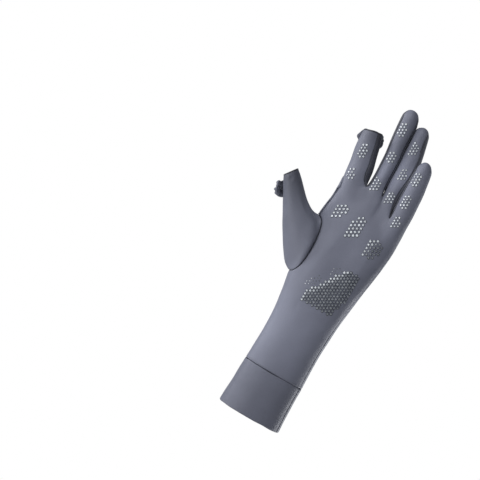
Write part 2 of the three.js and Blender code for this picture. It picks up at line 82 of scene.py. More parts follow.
# Each finger: where it starts and ends, the length of its rounded tip, its rings of faces, how
# far its palm side is turned to the thumb, and its line of heights, middles in X and Y and half
# sizes.
FINGERS = [
    {
        "name": "index", "base": 227, "top": 277, "round": 0, "rings": 5, "turn": 25,
        "line": [
            (223, -22.9, 1.0, 10.6, 9.8),
            (242, -23.8, 1.0, 11.4, 9.3),
            (256, -26.7, 0.6, 11.1, 9.0),
            (267, -28.6, 0.1, 10.3, 8.7),
            (277, -30.5, -0.5, 8.5, 8.3),
        ],
    },
    {
        "name": "middle", "base": 230.5, "top": 311.5, "round": 9.5, "rings": 6, "turn": 2,
        "line": [
            (223, -2.6, 0.6, 8.0, 9.6),
            (242, -3.2, 0.3, 7.3, 9.0),
            (263, -4.0, 0.0, 7.5, 8.3),
            (278, -5.7, -1.0, 7.8, 8.1),
            (292, -6.8, -2.2, 8.3, 7.9),
            (303, -7.8, -3.2, 8.1, 7.6),
            (312, -8.6, -4.0, 7.9, 7.4),
        ],
    },
    {
        "name": "ring", "base": 225.5, "top": 303, "round": 9, "rings": 6, "turn": 26,
        "line": [
            (215, 12.8, -1.6, 7.8, 9.2),
            (237, 12.5, 0.6, 7.9, 8.4),
            (253, 12.6, 1.0, 8.3, 8.0),
            (269, 12.4, 0.9, 9.2, 7.9),
            (285, 10.4, -0.4, 8.1, 7.6),
            (295, 8.9, -1.6, 7.2, 7.3),
            (304, 7.8, -2.8, 6.9, 7.0),
        ],
    },
    {
        "name": "little", "base": 213.5, "top": 276, "round": 9.5, "rings": 5, "turn": 20,
        "line": [
            (205, 29.4, -5.6, 9.1, 9.2),
            (222, 29.0, -7.0, 9.3, 8.6),
            (235, 28.2, -8.8, 9.2, 8.0),
            (249, 27.4, -10.4, 8.7, 7.5),
            (263, 26.2, -12.0, 7.8, 7.0),
            (276, 24.9, -13.6, 6.7, 6.4),
        ],
    },
]
BACK_TURN = 6
STRIP_HALF = 34
# The rings of a fingertip's dome, by their angle up it, and the half angle of its strips there.
DOME = ((26, 28), (50, 18), (67, 32))
ROOT_FADE = 0.35
THUMB_SIDE_TOP = 222.5
LITTLE_SIDE_TOP = 208.5
SIDE_ROUNDING = {"angle": 22, "rise": 0.8, "share": 0.4}

# The highest points of the cloth between two fingers: x, y, z, how far the seams on the palm
# and on the back lie below, and their half distance in Y.
CROTCHES = [
    (-11.3, -0.2, 233.0, 1.6, 6.0, 6.6),
    (4.75, -0.6, 231.6, 1.6, 7.0, 6.6),
    (20.0, -4.0, 217.6, 1.6, 6.0, 6.5),
]
CROTCH_SHARES = (0.22, 0.5, 0.78)

THUMB_CROTCH = (-36.4, 188.6)
THUMB_SEAM_BACK = [
    (-34.4, 186.6), (-32.6, 181.6), (-31.6, 175.0), (-31.1, 167.0), (-31.1, 159.0),
    (-31.4, 151.0), (-32.0, 143.6), (-32.8, 137.6), (-33.6, 133.4),
]
THUMB_HEEL = (-35.0, 131.6)
THUMB_SEAM_PALM = [
    (-33.4, 132.2), (-31.2, 134.0), (-28.6, 138.8), (-27.0, 146.4), (-26.5, 155.4),
    (-26.9, 164.4), (-27.8, 173.2), (-29.2, 180.6), (-32.2, 186.4),
]
THUMB_ROUNDNESS = 0.92

# The thumb's rings, each further out: the upper and the lower point of its outline, its
# middle in Y, its depths, and how far its palm side bulges towards the palm.
THUMB = [
    (-39.5, 188.8, -40.4, 135.6, 1.5, 17.2, 12.0, 9.5),
    (-45.0, 190.2, -47.0, 144.0, 0.8, 16.2, 12.2, 7.0),
    (-51.0, 193.8, -54.3, 155.2, -0.4, 14.6, 11.6, 4.0),
    (-57.2, 199.4, -61.3, 166.6, -2.0, 12.4, 10.8, 2.0),
    (-63.4, 205.9, -68.1, 178.6, -3.6, 10.4, 9.8, 0.8),
    (-68.8, 211.2, -74.8, 190.6, -4.8, 9.2, 9.0, 0.0),
    (-72.6, 214.4, -81.2, 202.8, -5.6, 8.2, 8.2, 0.0),
]

PANELS = ["palm_panel", "back_panel", "side_strip_1", "side_strip_2", "side_strip_3"]


# Sections of the sleeve, the fingers and the thumb.


def smoothstep(x, low, high):
    t = min(max((x - low) / (high - low), 0.0), 1.0)
    return t * t * (3 - 2 * t)


def lerp(a, b, t):
    return a + (b - a) * t


def power(value, exponent):
    return math.copysign(abs(value) ** exponent, value)


def between(start, end, count):
    return [lerp(start, end, (k + 1) / (count + 1)) for k in range(count)]


def along(table, z, column):
    """The smooth value of one column of a table at height z, on cubic Hermite spans."""
    end = len(table) - 1
    z = min(max(z, table[0][0]), table[end][0])
    i = 0
    while i < end - 1 and z > table[i + 1][0]:
        i += 1

    def slope(k):
        low, high = table[max(k - 1, 0)], table[min(k + 1, end)]
        return (high[column] - low[column]) / (high[0] - low[0])

    span = table[i + 1][0] - table[i][0]
    u = (z - table[i][0]) / span
    return (
        (2 * u**3 - 3 * u**2 + 1) * table[i][column]
        + (u**3 - 2 * u**2 + u) * span * slope(i)
        + (3 * u**2 - 2 * u**3) * table[i + 1][column]
        + (u**3 - u**2) * span * slope(i + 1)
    )


def sleeve_at(z):
    """The sleeve's section at height z: its middle, half width, depths and turn."""
    left, right, palm, back, turn = (along(SLEEVE, z, k) for k in range(1, 6))
    return (left + right) / 2, (right - left) / 2, palm, back, turn


def sleeve_point(z, angle, off=0.0):
    """A point round the sleeve, 180 at the thumb's side and -90 on the palm."""
    middle, half, palm, back, turn = sleeve_at(z)
    across = power(math.cos(math.radians(angle)), 2 / SQUARENESS)
    out = power(math.sin(math.radians(angle)), 2 / SQUARENESS)
    depth = out * (palm if out < 0 else back)
    p = Vector((middle + across * half, depth - across * turn, z))
    if off:
        deep = palm if out < 0 else back
        p += off * Vector((across / half, out / deep, 0)).normalized()
    return p


def sleeve_angle(z, x, side):
    middle, half, _, _, _ = sleeve_at(z)
    across = min(max((x - middle) / half, -1.0), 1.0)
    return side * math.degrees(math.acos(power(across, SQUARENESS / 2)))


def finger_section(finger, z):
    """A finger's section at height z: its middle and its half sizes."""
    rise = 0.0
    if finger["round"]:
        rise = min(max((z - finger["top"]) / finger["round"] + 1, 0.0), 1.0)
    shrink = math.sqrt(1 - rise**2)
    x, y, wide, deep = (along(finger["line"], z, k) for k in range(1, 5))
    return x, y, wide * shrink, deep * shrink


def finger_point(finger, z, angle):
    x, y, wide, deep = finger_section(finger, z)
    turn = math.radians(angle)
    return Vector((x + math.cos(turn) * wide, y + math.sin(turn) * deep, z))


def root_column(finger, k):
    return 2 + 3 * finger + k


def root_line(side):
    """Where the palm (side -1) or the back (side 1) ends and the fingers start."""
    line = [None] * (COLUMNS + 1)
    for i, finger in enumerate(FINGERS):
        turn = finger["turn"] if side < 0 else BACK_TURN
        for k in range(4):
            angle = side * lerp(180 - STRIP_HALF, STRIP_HALF, k / 3) - turn
            line[root_column(i, k)] = finger_point(finger, finger["base"], angle)
    for i, (x, y, z, front, back, half) in enumerate(CROTCHES):
        below = front if side < 0 else back
        line[root_column(i, 3)] = Vector((x, y + side * half, z - below))
    index, little = FINGERS[0], FINGERS[3]
    angle, rise, share = SIDE_ROUNDING["angle"], SIDE_ROUNDING["rise"], SIDE_ROUNDING["share"]
    line[0] = finger_point(index, THUMB_SIDE_TOP, 180)
    line[1] = finger_point(index, THUMB_SIDE_TOP + rise, side * (180 - angle))
    line[2].z = lerp(index["base"], THUMB_SIDE_TOP, share)
    line[COLUMNS - 2].z = lerp(little["base"], LITTLE_SIDE_TOP, share)
    line[COLUMNS - 1] = finger_point(little, LITTLE_SIDE_TOP + rise, side * angle)
    line[COLUMNS] = finger_point(little, LITTLE_SIDE_TOP, 0)
    return line


def sleeve_row(side, roots, share):
    row = []
    for c, root in enumerate(roots):
        z = lerp(SLEEVE_START, root.z, share)
        seam = lerp(*LITTLE_SIDE_SEAM, smoothstep(z, *SEAM_TURNS))
        even = lerp(side * THUMB_SIDE_SEAM, seam, c / COLUMNS)
        aimed = seam if c == COLUMNS else sleeve_angle(root.z, root.x, side)
        p = sleeve_point(z, lerp(even, aimed, smoothstep(z, *COLUMNS_GATHER)))
        take = smoothstep(z, root.z - ROOT_BLEND[side], root.z)
        row.append(Vector((lerp(p.x, root.x, take), lerp(p.y, root.y, take), z)))
    return row


def thumb_seam():
    at = [(THUMB_CROTCH, -1)] + [(p, 1) for p in THUMB_SEAM_BACK]
    at += [(THUMB_HEEL, -1)] + [(p, -1) for p in THUMB_SEAM_PALM]
    return [sleeve_point(z, sleeve_angle(z, x, side)) for (x, z), side in at]


def thumb_ring(row, sides):
    ux, uz, lx, lz, y, palm, back, lean = row
    upper, lower = Vector((ux, y, uz)), Vector((lx, y, lz))
    middle = (upper + lower) / 2
    ring = []
    for k in range(sides):
        turn = 2 * math.pi * k / sides
        p = middle + (upper - middle) * power(math.cos(turn), THUMB_ROUNDNESS)
        bulge = math.sin(turn)
        p.y += bulge * (back if bulge > 0 else palm)
        p.x += max(-bulge, 0) * lean
        ring.append(p)
    return ring


# Building cages ring by ring.


def lengths_round(points):
    """How far each point of a closed ring lies along it, and its whole length."""
    total, found = 0.0, [0.0]
    for k, p in enumerate(points):
        total += (points[(k + 1) % len(points)] - p).length
        found.append(total)
    return found


def extrude_ring(bm, ring):
    """Extrudes a closed ring and returns the new ring in the same order."""
    edges = [bm.edges.get((a, b)) for a, b in zip(ring, ring[1:] + ring[:1])]
    made = bmesh.ops.extrude_edge_only(bm, edges=edges)["geom"]
    fresh = {g for g in made if isinstance(g, bmesh.types.BMVert)}
    return [next(e.other_vert(v) for e in v.link_edges if e.other_vert(v) in fresh) for v in ring]


def add_row(bm, grain, low, places, panels, spread):
    """Extrudes ring low to places. panels gives each new face its material number, and
    spread(k, panel, lengths) how far the grain lies across at the ring's point k."""
    high = extrude_ring(bm, low)
    low_lengths = lengths_round([v.co for v in low])
    for v, p in zip(high, places):
        v.co = p
    high_lengths = lengths_round(places)
    count = len(low)
    for k in range(count):
        after = (k + 1) % count
        face = bm.faces.get((low[k], low[after], high[after], high[k]))
        face.material_index = panels[k]
        spots = {
            low[k]: spread(k, panels[k], low_lengths),
            low[after]: spread(k + 1, panels[k], low_lengths),
            high[k]: spread(k, panels[k], high_lengths),
            high[after]: spread(k + 1, panels[k], high_lengths),
        }
        for loop in face.loops:
            loop[grain].uv = (spots[loop.vert], loop.vert.co.z)
    return high


def start_ring(bm, places):
    bmesh.ops.create_circle(bm, segments=len(places), radius=1)
    ring = list(bm.verts)
    for v, p in zip(ring, places):
        v.co = p
    return ring


def close_ring(bm, grain, ring, top, panels, spread):
    """Fills a ring with a fan of faces round its top."""
    lengths = lengths_round([v.co for v in ring])
    face = bm.faces.new(ring)
    fan = bmesh.ops.poke(bm, faces=[face])
    fan["verts"][0].co = top
    for face in fan["faces"]:
        at = [k for k, v in enumerate(ring) if v in face.verts]
        k = at[0] if at[1] - at[0] == 1 else at[1]
        face.material_index = panels[k]
        for loop in face.loops:
            n = ring.index(loop.vert) if loop.vert in ring else None
            if n is None:
                across = spread(k, panels[k], lengths)
            else:
                across = spread(k if n == k else k + 1, panels[k], lengths)
            loop[grain].uv = (across, loop.vert.co.z)


def plain_spread(k, panel, lengths):
    return lengths[k]


def loft(rings, start=None, end=None):
    """A cage from rings of points, closed at either end by a fan if that point is given."""
    bm = bmesh.new()
    grain = bm.loops.layers.uv.new("grain")
    panels = [0] * len(rings[0])
    ring = start_ring(bm, rings[0])
    if start is not None:
        close_ring(bm, grain, ring, start, panels, plain_spread)
    for places in rings[1:]:
        ring = add_row(bm, grain, ring, places, panels, plain_spread)
    if end is not None:
        close_ring(bm, grain, ring, end, panels, plain_spread)
    return bm


def join_ends(bm):
    """Joins the two open ends of a cage."""
    bmesh.ops.bridge_loops(bm, edges=[e for e in bm.edges if e.is_boundary])


def mesh_of(bm, name):
    mesh = bpy.data.meshes.new(name)
    bm.to_mesh(mesh)
    bm.free()
    return mesh


def triples(data, key):
    values = np.empty(len(data) * 3, np.float32)
    data.foreach_get(key, values)
    return values.reshape(-1, 3).astype(float)


def points_of(mesh):
    return triples(mesh.vertices, "co")


def normals_of(mesh):
    return triples(mesh.vertex_normals, "vector")


def move_points(mesh, co):
    mesh.vertices.foreach_set("co", co.astype(np.float32).ravel())
    mesh.update()


def evaluated(piece):
    bpy.context.view_layer.update()
    graph = bpy.context.evaluated_depsgraph_get()
    return piece.evaluated_get(graph), graph


# How much of the distance that is left the cage moves in one round of fitting.
FIT_STEP = 0.7


def smooth_surface(bm, levels, rounds=4):
    """The smooth surface that passes through the cage's points, as a dense mesh."""
    bmesh.ops.recalc_face_normals(bm, faces=bm.faces)
    mesh = mesh_of(bm, "cage")
    cage = bpy.data.objects.new("cage", mesh)
    COLLECTION.objects.link(cage)
    smooth = cage.modifiers.new("Smooth", "SUBSURF")
    smooth.levels = smooth.render_levels = 1
    target = points_of(mesh)
    placed = target.copy()
    for _ in range(rounds):
        reached = points_of(evaluated(cage)[0].data)[: len(target)]
        placed += FIT_STEP * (target - reached)
        move_points(mesh, placed)
    smooth.levels = smooth.render_levels = levels
    smoothed, graph = evaluated(cage)
    dense = bpy.data.meshes.new_from_object(
        smoothed, preserve_all_data_layers=True, depsgraph=graph
    )
    bpy.data.objects.remove(cage)
    bpy.data.meshes.remove(mesh)
    return dense


# Folds, seams and edges.


def bell(x, width):
    return np.exp(-((x / width) ** 2))


def tree_of_points(points):
    tree = KDTree(len(points))
    for i, p in enumerate(points):
        tree.insert(p, i)
    tree.balance()
    return tree


def tree_of_mesh(mesh):
    corners = [v.co.copy() for v in mesh.vertices]
    return BVHTree.FromPolygons(corners, [tuple(p.vertices) for p in mesh.polygons])


def mark_painted_shade(mesh, near):
    """Keeps how strong the painted shade is at each point near a seam or crease, for the knit to
    darken there.
    """
    mark = mesh.attributes.new("seam", "FLOAT", "POINT")
    mark.data.foreach_set("value", near.astype(np.float32))


def distance_to_path(points, path):
    """Each point's distance to a line of points, and how far along it, from 0 to 1."""
    path = np.array(path, float)
    runs = np.linalg.norm(path[1:] - path[:-1], axis=1)
    starts = np.concatenate([[0], np.cumsum(runs)])
    best = np.full(len(points), 1e9)
    share = np.zeros(len(points))
    for i, run in enumerate(runs):
        line = path[i + 1] - path[i]
        t = np.clip((points - path[i]) @ line / run**2, 0, 1)
        d = np.linalg.norm(points - (path[i] + t[:, None] * line), axis=1)
        closer = d < best
        best[closer] = d[closer]
        share[closer] = (starts[i] + t[closer] * run) / starts[-1]
    return best, share


# Beside a fold the cloth puffs up highest at PUFF_AT times its width. A fold fades out at its
# ends and far from its line, and a fold or mound also where the cloth turns away from its side
# of the hand.
PUFF_AT = 1.9
PUFF_SPREAD = 0.8
FOLD_ENDS = 0.7
FOLD_FULL = 1.6
FOLD_FADE = 3
FOLD_FACING = 1.6
MOUND_FACING = 1.3


def fold(co, no, path, width, depth, side=0, puff=0.3, ends=True):
    """Presses a fold line into the cloth, which puffs up a little beside it. A path on the
    palm (side -1) or the back (side 1) has only X and Z."""
    flat = len(path[0]) == 2
    distance, share = distance_to_path(co[:, [0, 2]] if flat else co, path)
    x = distance / width
    profile = puff * np.exp(-((x - PUFF_AT) ** 2) / PUFF_SPREAD) - bell(x, 1)
    if ends:
        profile *= np.sin(np.pi * np.clip(share, 0.0, 1.0)) ** FOLD_ENDS
        profile *= np.clip(FOLD_FULL - x / FOLD_FADE, 0, 1)
    if side:
        profile *= np.clip(side * no[:, 1] * FOLD_FACING, 0, 1)
    co += no * (depth * profile)[:, None]


def mound(co, no, side, x, z, rx, rz, height):
    """Swells the palm or the back out round a point."""
    r = ((co[:, 0] - x) / rx) ** 2 + ((co[:, 2] - z) / rz) ** 2
    facing = np.clip(side * no[:, 1] * MOUND_FACING, 0, 1)
    co += no * (height * np.exp(-r) * facing)[:, None]


def waves(co, count, shortest, longest, seed):
    """Even waves through the points, each in a random direction."""
    rng = np.random.default_rng(seed)
    for _ in range(count):
        way = rng.normal(size=3)
        way /= np.linalg.norm(way)
        yield np.sin(co @ way * 2 * np.pi / rng.uniform(shortest, longest) + rng.uniform(0, 7))


# Seven waves add up to about 2.6 times the height of one.
WAVER_COUNT = 7
WAVER_SPREAD = 2.6


def waver(co, no, amount, shortest, longest, seed):
    """Slight unevenness of the stretched cloth, as a few long waves."""
    total = sum(waves(co, WAVER_COUNT, shortest, longest, seed))
    co += no * (amount * total / WAVER_SPREAD)[:, None]


# Sewn edges: how far their effect reaches, how far along and across their puckers go, and how wide
# the painted shade line along the seam is and how strong it is at least.
EDGE_REACH = 5
PUCKER_LENGTHS = (2.4, 5.5)
PUCKER_WIDTH = 2.4
LONG_PUCKERS = 0.6
SEAM_SHADE_WIDTH = 0.6
SEAM_SHADE_LEAST = 0.15


def turn_in_edges(bm, depth, width, pucker, ease=None):
    """Rolls a panel's open edges in where they are sewn, with fine puckers beside them, and marks
    how near each point is to the edge, as painted shade along the seam. ease(p) is how much of
    this a point takes."""
    bm.normal_update()
    edge_shade = bm.verts.layers.float.new("seam")
    rim = [v for v in bm.verts if v.is_boundary]
    tree = tree_of_points([v.co for v in rim])
    short, long = PUCKER_LENGTHS
    moves = []
    for v in bm.verts:
        _, i, distance = tree.find(v.co)
        if distance > EDGE_REACH:
            continue
        at = rim[i]
        for e in at.link_edges:
            if e.is_boundary:
                run = e.other_vert(at).co - at.co
                t = min(max((v.co - at.co).dot(run) / max(run.length_squared, 1e-9), 0), 1)
                distance = min(distance, (v.co - at.co - t * run).length)
        down = depth * max(0, 1 - distance / width) ** 2
        rough = noise.noise(v.co / short)
        rough += LONG_PUCKERS * noise.noise(v.co / long + Vector((9, 0, 0)))
        up = pucker * rough * bell(distance, PUCKER_WIDTH)
        share = ease(v.co) if ease else 1
        moves.append((v, v.normal.copy(), (up - down) * share))
        # The painted shade of the seam line, kept faint even where the seam lies flat.
        v[edge_shade] = max(share, SEAM_SHADE_LEAST) * bell(distance, SEAM_SHADE_WIDTH)
    for v, normal, move in moves:
        v.co += normal * move


def keep_panel(dense, number):
    """The faces of one panel, cut free of the others."""
    bm = bmesh.new()
    bm.from_mesh(dense)
    others = [f for f in bm.faces if f.material_index != number]
    bmesh.ops.delete(bm, geom=others, context="FACES")
    for f in bm.faces:
        f.material_index = 0
    return bm


UNROLLED_RADIUS = 22


def unrolled(p):
    """How far round the thumb's side of the sleeve a point lies, and its height."""
    middle, half, palm, back, turn = sleeve_at(p[2])
    across = (p[0] - middle) / half
    depth = p[1] + across * turn
    return UNROLLED_RADIUS * math.atan2(-depth / (palm if depth < 0 else back), -across), p[2]


def signed_distance(points, outline):
    """Distance from a closed outline in the plane, negative inside."""
    closed = np.vstack([outline, outline[:1]])
    distance, _ = distance_to_path(points, closed)
    inside = np.zeros(len(points), bool)
    for (ax, ay), (bx, by) in zip(closed[:-1], closed[1:]):
        crosses = (ay > points[:, 1]) != (by > points[:, 1])
        with np.errstate(divide="ignore", invalid="ignore"):
            x = ax + (points[:, 1] - ay) * (bx - ax) / (by - ay)
        inside ^= crosses & (points[:, 0] < x)
    return np.where(inside, -distance, distance)


# The part of the hand that holds the thumb's hole, and how near the seam a point counts as on
# it.
HOLE_RIGHT = -18
HOLE_HEIGHTS = (122, 198)
ON_SEAM = 0.03


def cut_thumb_hole(bm, outline):
    """Cuts the hand's cloth away inside the thumb's seam."""
    low, high = HOLE_HEIGHTS
    near = [v for v in bm.verts if v.co.x < HOLE_RIGHT and low < v.co.z < high]
    spots = np.array([unrolled(v.co) for v in near])
    distances = signed_distance(spots, outline)
    field = {v: d if abs(d) > ON_SEAM else 0.0 for v, d in zip(near, distances)}
    crossed = []
    for e in {e for v in near for e in v.link_edges}:
        a, b = e.verts
        if a in field and b in field and field[a] * field[b] < 0:
            crossed.append(e)
    for e in crossed:
        a, b = e.verts
        _, v = bmesh.utils.edge_split(e, a, field[a] / (field[a] - field[b]))
        field[v] = 0.0
    bmesh.ops.connect_verts(bm, verts=[v for v, d in field.items() if d == 0])
    inside = []
    for f in bm.faces:
        depths = [field.get(v, 1) for v in f.verts]
        if min(depths) < 0 and max(depths) <= 0:
            inside.append(f)
    bmesh.ops.delete(bm, geom=inside, context="FACES")


# Materials.


def set_input(tree, socket, value):
    if isinstance(value, bpy.types.NodeSocket):
        tree.links.new(value, socket)
    else:
        socket.default_value = value


def add_node(tree, kind, inputs=(), **settings):
    n = tree.nodes.new("ShaderNode" + kind)
    for key, value in settings.items():
        setattr(n, key, value)
    for key, value in dict(inputs).items():
        set_input(tree, n.inputs[key], value)
    return n


def math_node(tree, operation, *values):
    return add_node(tree, "Math", enumerate(values), operation=operation).outputs[0]


def mix_colours(tree, share, a, b):
    return add_node(tree, "Mix", {0: share, 6: a, 7: b}, data_type="RGBA").outputs[2]


def noise_node(tree, where, scale, detail):
    inputs = {"Vector": where, "Scale": scale, "Detail": detail}
    return add_node(tree, "TexNoise", inputs).outputs[0]


def attribute(tree, name):
    return add_node(tree, "Attribute", attribute_name=name).outputs["Fac"]


def tint(colour, share):
    """A colour made lighter or darker, as a shader takes it."""
    return tuple(min(c * share, 1) for c in colour) + (1,)


def start_material(name):
    """A new material, its nodes, and the node output that tells the place on the piece."""
    material = bpy.data.materials.new(name)
    material.use_nodes = True
    tree = material.node_tree
    return material, tree, add_node(tree, "TexCoord").outputs["Object"]


def set_shader(tree, inputs):
    for key, value in inputs.items():
        set_input(tree, tree.nodes["Principled BSDF"].inputs[key], value)


# Spots of painted light and painted shade on the knit, lighter on the forearm, the palm and the
# middle and ring fingers, darker on the thumb and at the index finger's tip: place and reach in
# metres, and how much.
PAINTED_LIGHT_SPOTS = [
    ((-0.012, -0.018, 0.086), 0.036, 0.3),
    ((-0.006, -0.016, 0.176), 0.034, 0.14),
    ((0.001, -0.006, 0.252), 0.017, 0.42),
    ((0.017, -0.006, 0.255), 0.017, 0.2),
    ((-0.073, -0.008, 0.206), 0.024, -0.46),
    ((-0.050, -0.014, 0.165), 0.026, -0.12),
    ((-0.028, -0.006, 0.278), 0.016, -0.34),
]


# The factor by which the spots of painted light and painted shade scale the knit's colour.
def painted_light_tone(tree, where):
    tone = 1.0
    for place, reach, amount in PAINTED_LIGHT_SPOTS:
        away = add_node(tree, "VectorMath", {0: where, 1: place}, operation="DISTANCE")
        share = math_node(tree, "DIVIDE", away.outputs["Value"], reach)
        share = math_node(tree, "MULTIPLY", share, share)
        share = math_node(tree, "EXPONENT", math_node(tree, "MULTIPLY", share, -1.0))
        tone = math_node(tree, "MULTIPLY_ADD", share, amount, tone)
    return tone


# The knit: its loops in each millimetre across and up, the sizes of its uneven spots, and how
# far the yarn lies above and below its colour.
GREY = (0.170, 0.1795, 0.234)
WALES = 1.9
COURSES = 2.3
SPECKS = (1100, 2)
SPOTS = (55, 3)
YARN_LIGHT = 1.16
YARN_DARK = 0.84
# How dark the painted shade in the pits between the loops is.
PIT_SHADE = 0.6
# How dark the painted shade along the seams and in creases is.
SEAM_SHADE = 0.22


def knit_material(name, share, seam_shade_share):
    """Fine, slightly shiny stretch knit, with painted shade in the pits of its loops and where it
    turns in at a seam or lies in a crease, and spots of painted light and shade.
    """
    colour = tuple(c * share for c in GREY)
    material, tree, where = start_material(name)
    grain = add_node(tree, "UVMap", uv_map="grain").outputs[0]
    split = add_node(tree, "SeparateXYZ", {0: grain})
    across = math_node(tree, "MULTIPLY", split.outputs[0], WALES)
    wale = math_node(tree, "PINGPONG", across, 0.5)
    course = math_node(tree, "MULTIPLY_ADD", split.outputs[1], COURSES, wale)
    loops = math_node(tree, "SINE", math_node(tree, "MULTIPLY", course, 2 * math.pi))
    height = math_node(tree, "MULTIPLY_ADD", loops, 0.3, wale)
    specks = noise_node(tree, where, *SPECKS)
    spots = math_node(tree, "MULTIPLY", noise_node(tree, where, *SPOTS), 0.5)
    uneven = math_node(tree, "MULTIPLY_ADD", specks, 0.5, spots)
    yarn = mix_colours(tree, uneven, tint(colour, YARN_DARK), tint(colour, YARN_LIGHT))
    # Painted shade in the pits between the loops.
    pit_shade = math_node(tree, "MULTIPLY", math_node(tree, "SUBTRACT", 0.5, wale), 0.28)
    yarn = mix_colours(tree, pit_shade, yarn, tint(colour, PIT_SHADE))
    # Painted light and painted shade: the yarn's colour scaled by the spots.
    painted_light = {0: yarn, "Scale": painted_light_tone(tree, where)}
    yarn = add_node(tree, "VectorMath", painted_light, operation="SCALE").outputs[0]
    # Painted shade along the seams and in creases, from the points' seam attribute.
    seam = math_node(tree, "MULTIPLY", attribute(tree, "seam"), seam_shade_share)
    bump = add_node(tree, "Bump", {"Height": height, "Strength": 0.35, "Distance": 0.0001})
    set_shader(tree, {
        "Base Color": mix_colours(tree, seam, yarn, tint(colour, SEAM_SHADE)),
        "Normal": bump.outputs[0],
        "Roughness": math_node(tree, "MULTIPLY_ADD", specks, 0.1, 0.47),
        "Specular IOR Level": 0.42,
        "Sheen Weight": 0.22,
        "Sheen Roughness": 0.45,
        "Sheen Tint": (0.72, 0.75, 0.86, 1),
    })
    return material


# The silicone's painted shade at a dot's foot, and the colours of the painted highlight on its
# crown.
SILICONE_SHADE_COLOUR = (0.042, 0.048, 0.066, 1)
SILICONE_HIGHLIGHT_COLOURS = ((0.84, 0.91, 1, 1), (0.94, 0.98, 1, 1))


def silicone_material():
    """Clear printed silicone over the grey knit, with painted shade at each dot's foot and a
    painted highlight on its crown.
    """
    material, tree, where = start_material("grip_silicone")
    cloud = noise_node(tree, where, 420, 1)
    painted_glint = attribute(tree, "painted_glint")
    clear = mix_colours(tree, cloud, *SILICONE_HIGHLIGHT_COLOURS)
    gloss = math_node(tree, "MULTIPLY_ADD", painted_glint, 0.5, 0.15)
    set_shader(tree, {
        "Base Color": mix_colours(tree, painted_glint, SILICONE_SHADE_COLOUR, clear),
        "Roughness": math_node(tree, "MULTIPLY_ADD", cloud, 0.12, 0.12),
        "Specular IOR Level": gloss,
        "Coat Weight": gloss,
        "Coat Roughness": 0.1,
    })
    return material


def plain_material(name, colour, rough, spread=0.06, scale=700):
    material, tree, where = start_material(name)
    fine = noise_node(tree, where, scale, 2)
    mixed = mix_colours(tree, fine, tint(colour, 1 - spread), tint(colour, 1 + spread))
    set_shader(tree, {"Base Color": mixed, "Roughness": rough})
    return material


# Each knit's share of the grey, and how strong the painted shade at its seams and creases is.
KNIT = knit_material("knit", 1, 0.7)
# The side strips between the fingers: the knit darkened as painted shade.
STRIP_PAINTED_SHADE_KNIT = knit_material("strip_painted_shade_knit", 0.4, 0.7)
CUFF_KNIT = knit_material("cuff_knit", 0.86, 0.4)
# The index cap: the knit darkened as painted shade. The thumb cap: the knit lightened as painted
# light.
CAP_PAINTED_SHADE_KNIT = knit_material("cap_painted_shade_knit", 0.72, 0.75)
THUMB_CAP_PAINTED_LIGHT_KNIT = knit_material("thumb_cap_painted_light_knit", 1.12, 0.8)
HEM_KNIT = knit_material("hem_knit", 0.34, 0.5)
SILICONE = silicone_material()
THREAD = plain_material("thread", tuple(c * 0.75 for c in GREY), 0.7)
SILVER_PRINT = plain_material("silver_print", (0.56, 0.57, 0.6), 0.42)


def finish_piece(name, mesh, material, node, wall=0.0):
    """Puts a mesh in metres, gives it its wall and material, and ties it to the root body. The
    node argument is not used.
    """
    mesh.name = name
    mesh.transform(Matrix.Scale(MM, 4))
    mesh.materials.clear()
    mesh.materials.append(material)
    mesh.shade_smooth()
    piece = bpy.data.objects.new(name, mesh)
    COLLECTION.objects.link(piece)
    if wall:
        cloth = piece.modifiers.new("Cloth", "SOLIDIFY")
        cloth.thickness = wall * MM
        cloth.offset = -1
        cloth.use_rim = True
    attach(piece, "root")
    return piece


# The hand: sleeve and fingers.


def ring_angles(half, turn):
    palm = [half - 180 - turn, -half - turn]
    back = [half - BACK_TURN, 180 - half - BACK_TURN]
    return [
        palm[0], *between(palm[0], palm[1], 2), palm[1], *between(palm[1], back[0], 3),
        back[0], *between(back[0], back[1], 2), back[1], *between(back[1], palm[0] + 360, 3),
    ]


def ring_panels(i, strips_end):
    little = 2 + i if not strips_end and i < 3 else None
    thumb = 1 + i if not strips_end and i > 0 else None
    little = [little] * 4 if little else [0, 0, 1, 1]
    thumb = [thumb] * 4 if thumb else [1, 1, 0, 0]
    return [0, 0, 0, *little, 1, 1, 1, *thumb]


def finger_spread(front_middle, back_middle):
    """The grain across a finger's ring, carried on from the palm and from the back."""
    def spread(k, panel, lengths):
        if panel == 0:
            at = lengths[k] - (lengths[-1] if k >= 12 else 0)
            return at - (lengths[1] + lengths[2]) / 2 + front_middle
        if panel == 1:
            return lengths[k] - (lengths[8] + lengths[9]) / 2 + back_middle
        return lengths[k] - (lengths[5] if k < 8 else lengths[12])
    return spread


def add_finger(bm, grain, i, ring, spread):
    finger = FINGERS[i]
    straight = finger["top"] - finger["round"]
    slopes = [v.co.z - finger["base"] for v in ring]
    for r in range(1, finger["rings"] + 1):
        z = lerp(finger["base"], straight, r / finger["rings"])
        angles = ring_angles(STRIP_HALF, finger["turn"])
        places = [finger_point(finger, z, angle) for angle in angles]
        if r == 1:
            for p, slope in zip(places, slopes):
                p.z += ROOT_FADE * slope
        ring = add_row(bm, grain, ring, places, ring_panels(i, False), spread)
    if not finger["round"]:
        return
    for r, (angle, half) in enumerate(DOME):
        z = straight + finger["round"] * math.sin(math.radians(angle))
        angles = ring_angles(half, finger["turn"])
        places = [finger_point(finger, z, a) for a in angles]
        ring = add_row(bm, grain, ring, places, ring_panels(i, r > 1), spread)
    top = finger_point(finger, finger["top"], 0)
    close_ring(bm, grain, ring, top, ring_panels(i, True), spread)


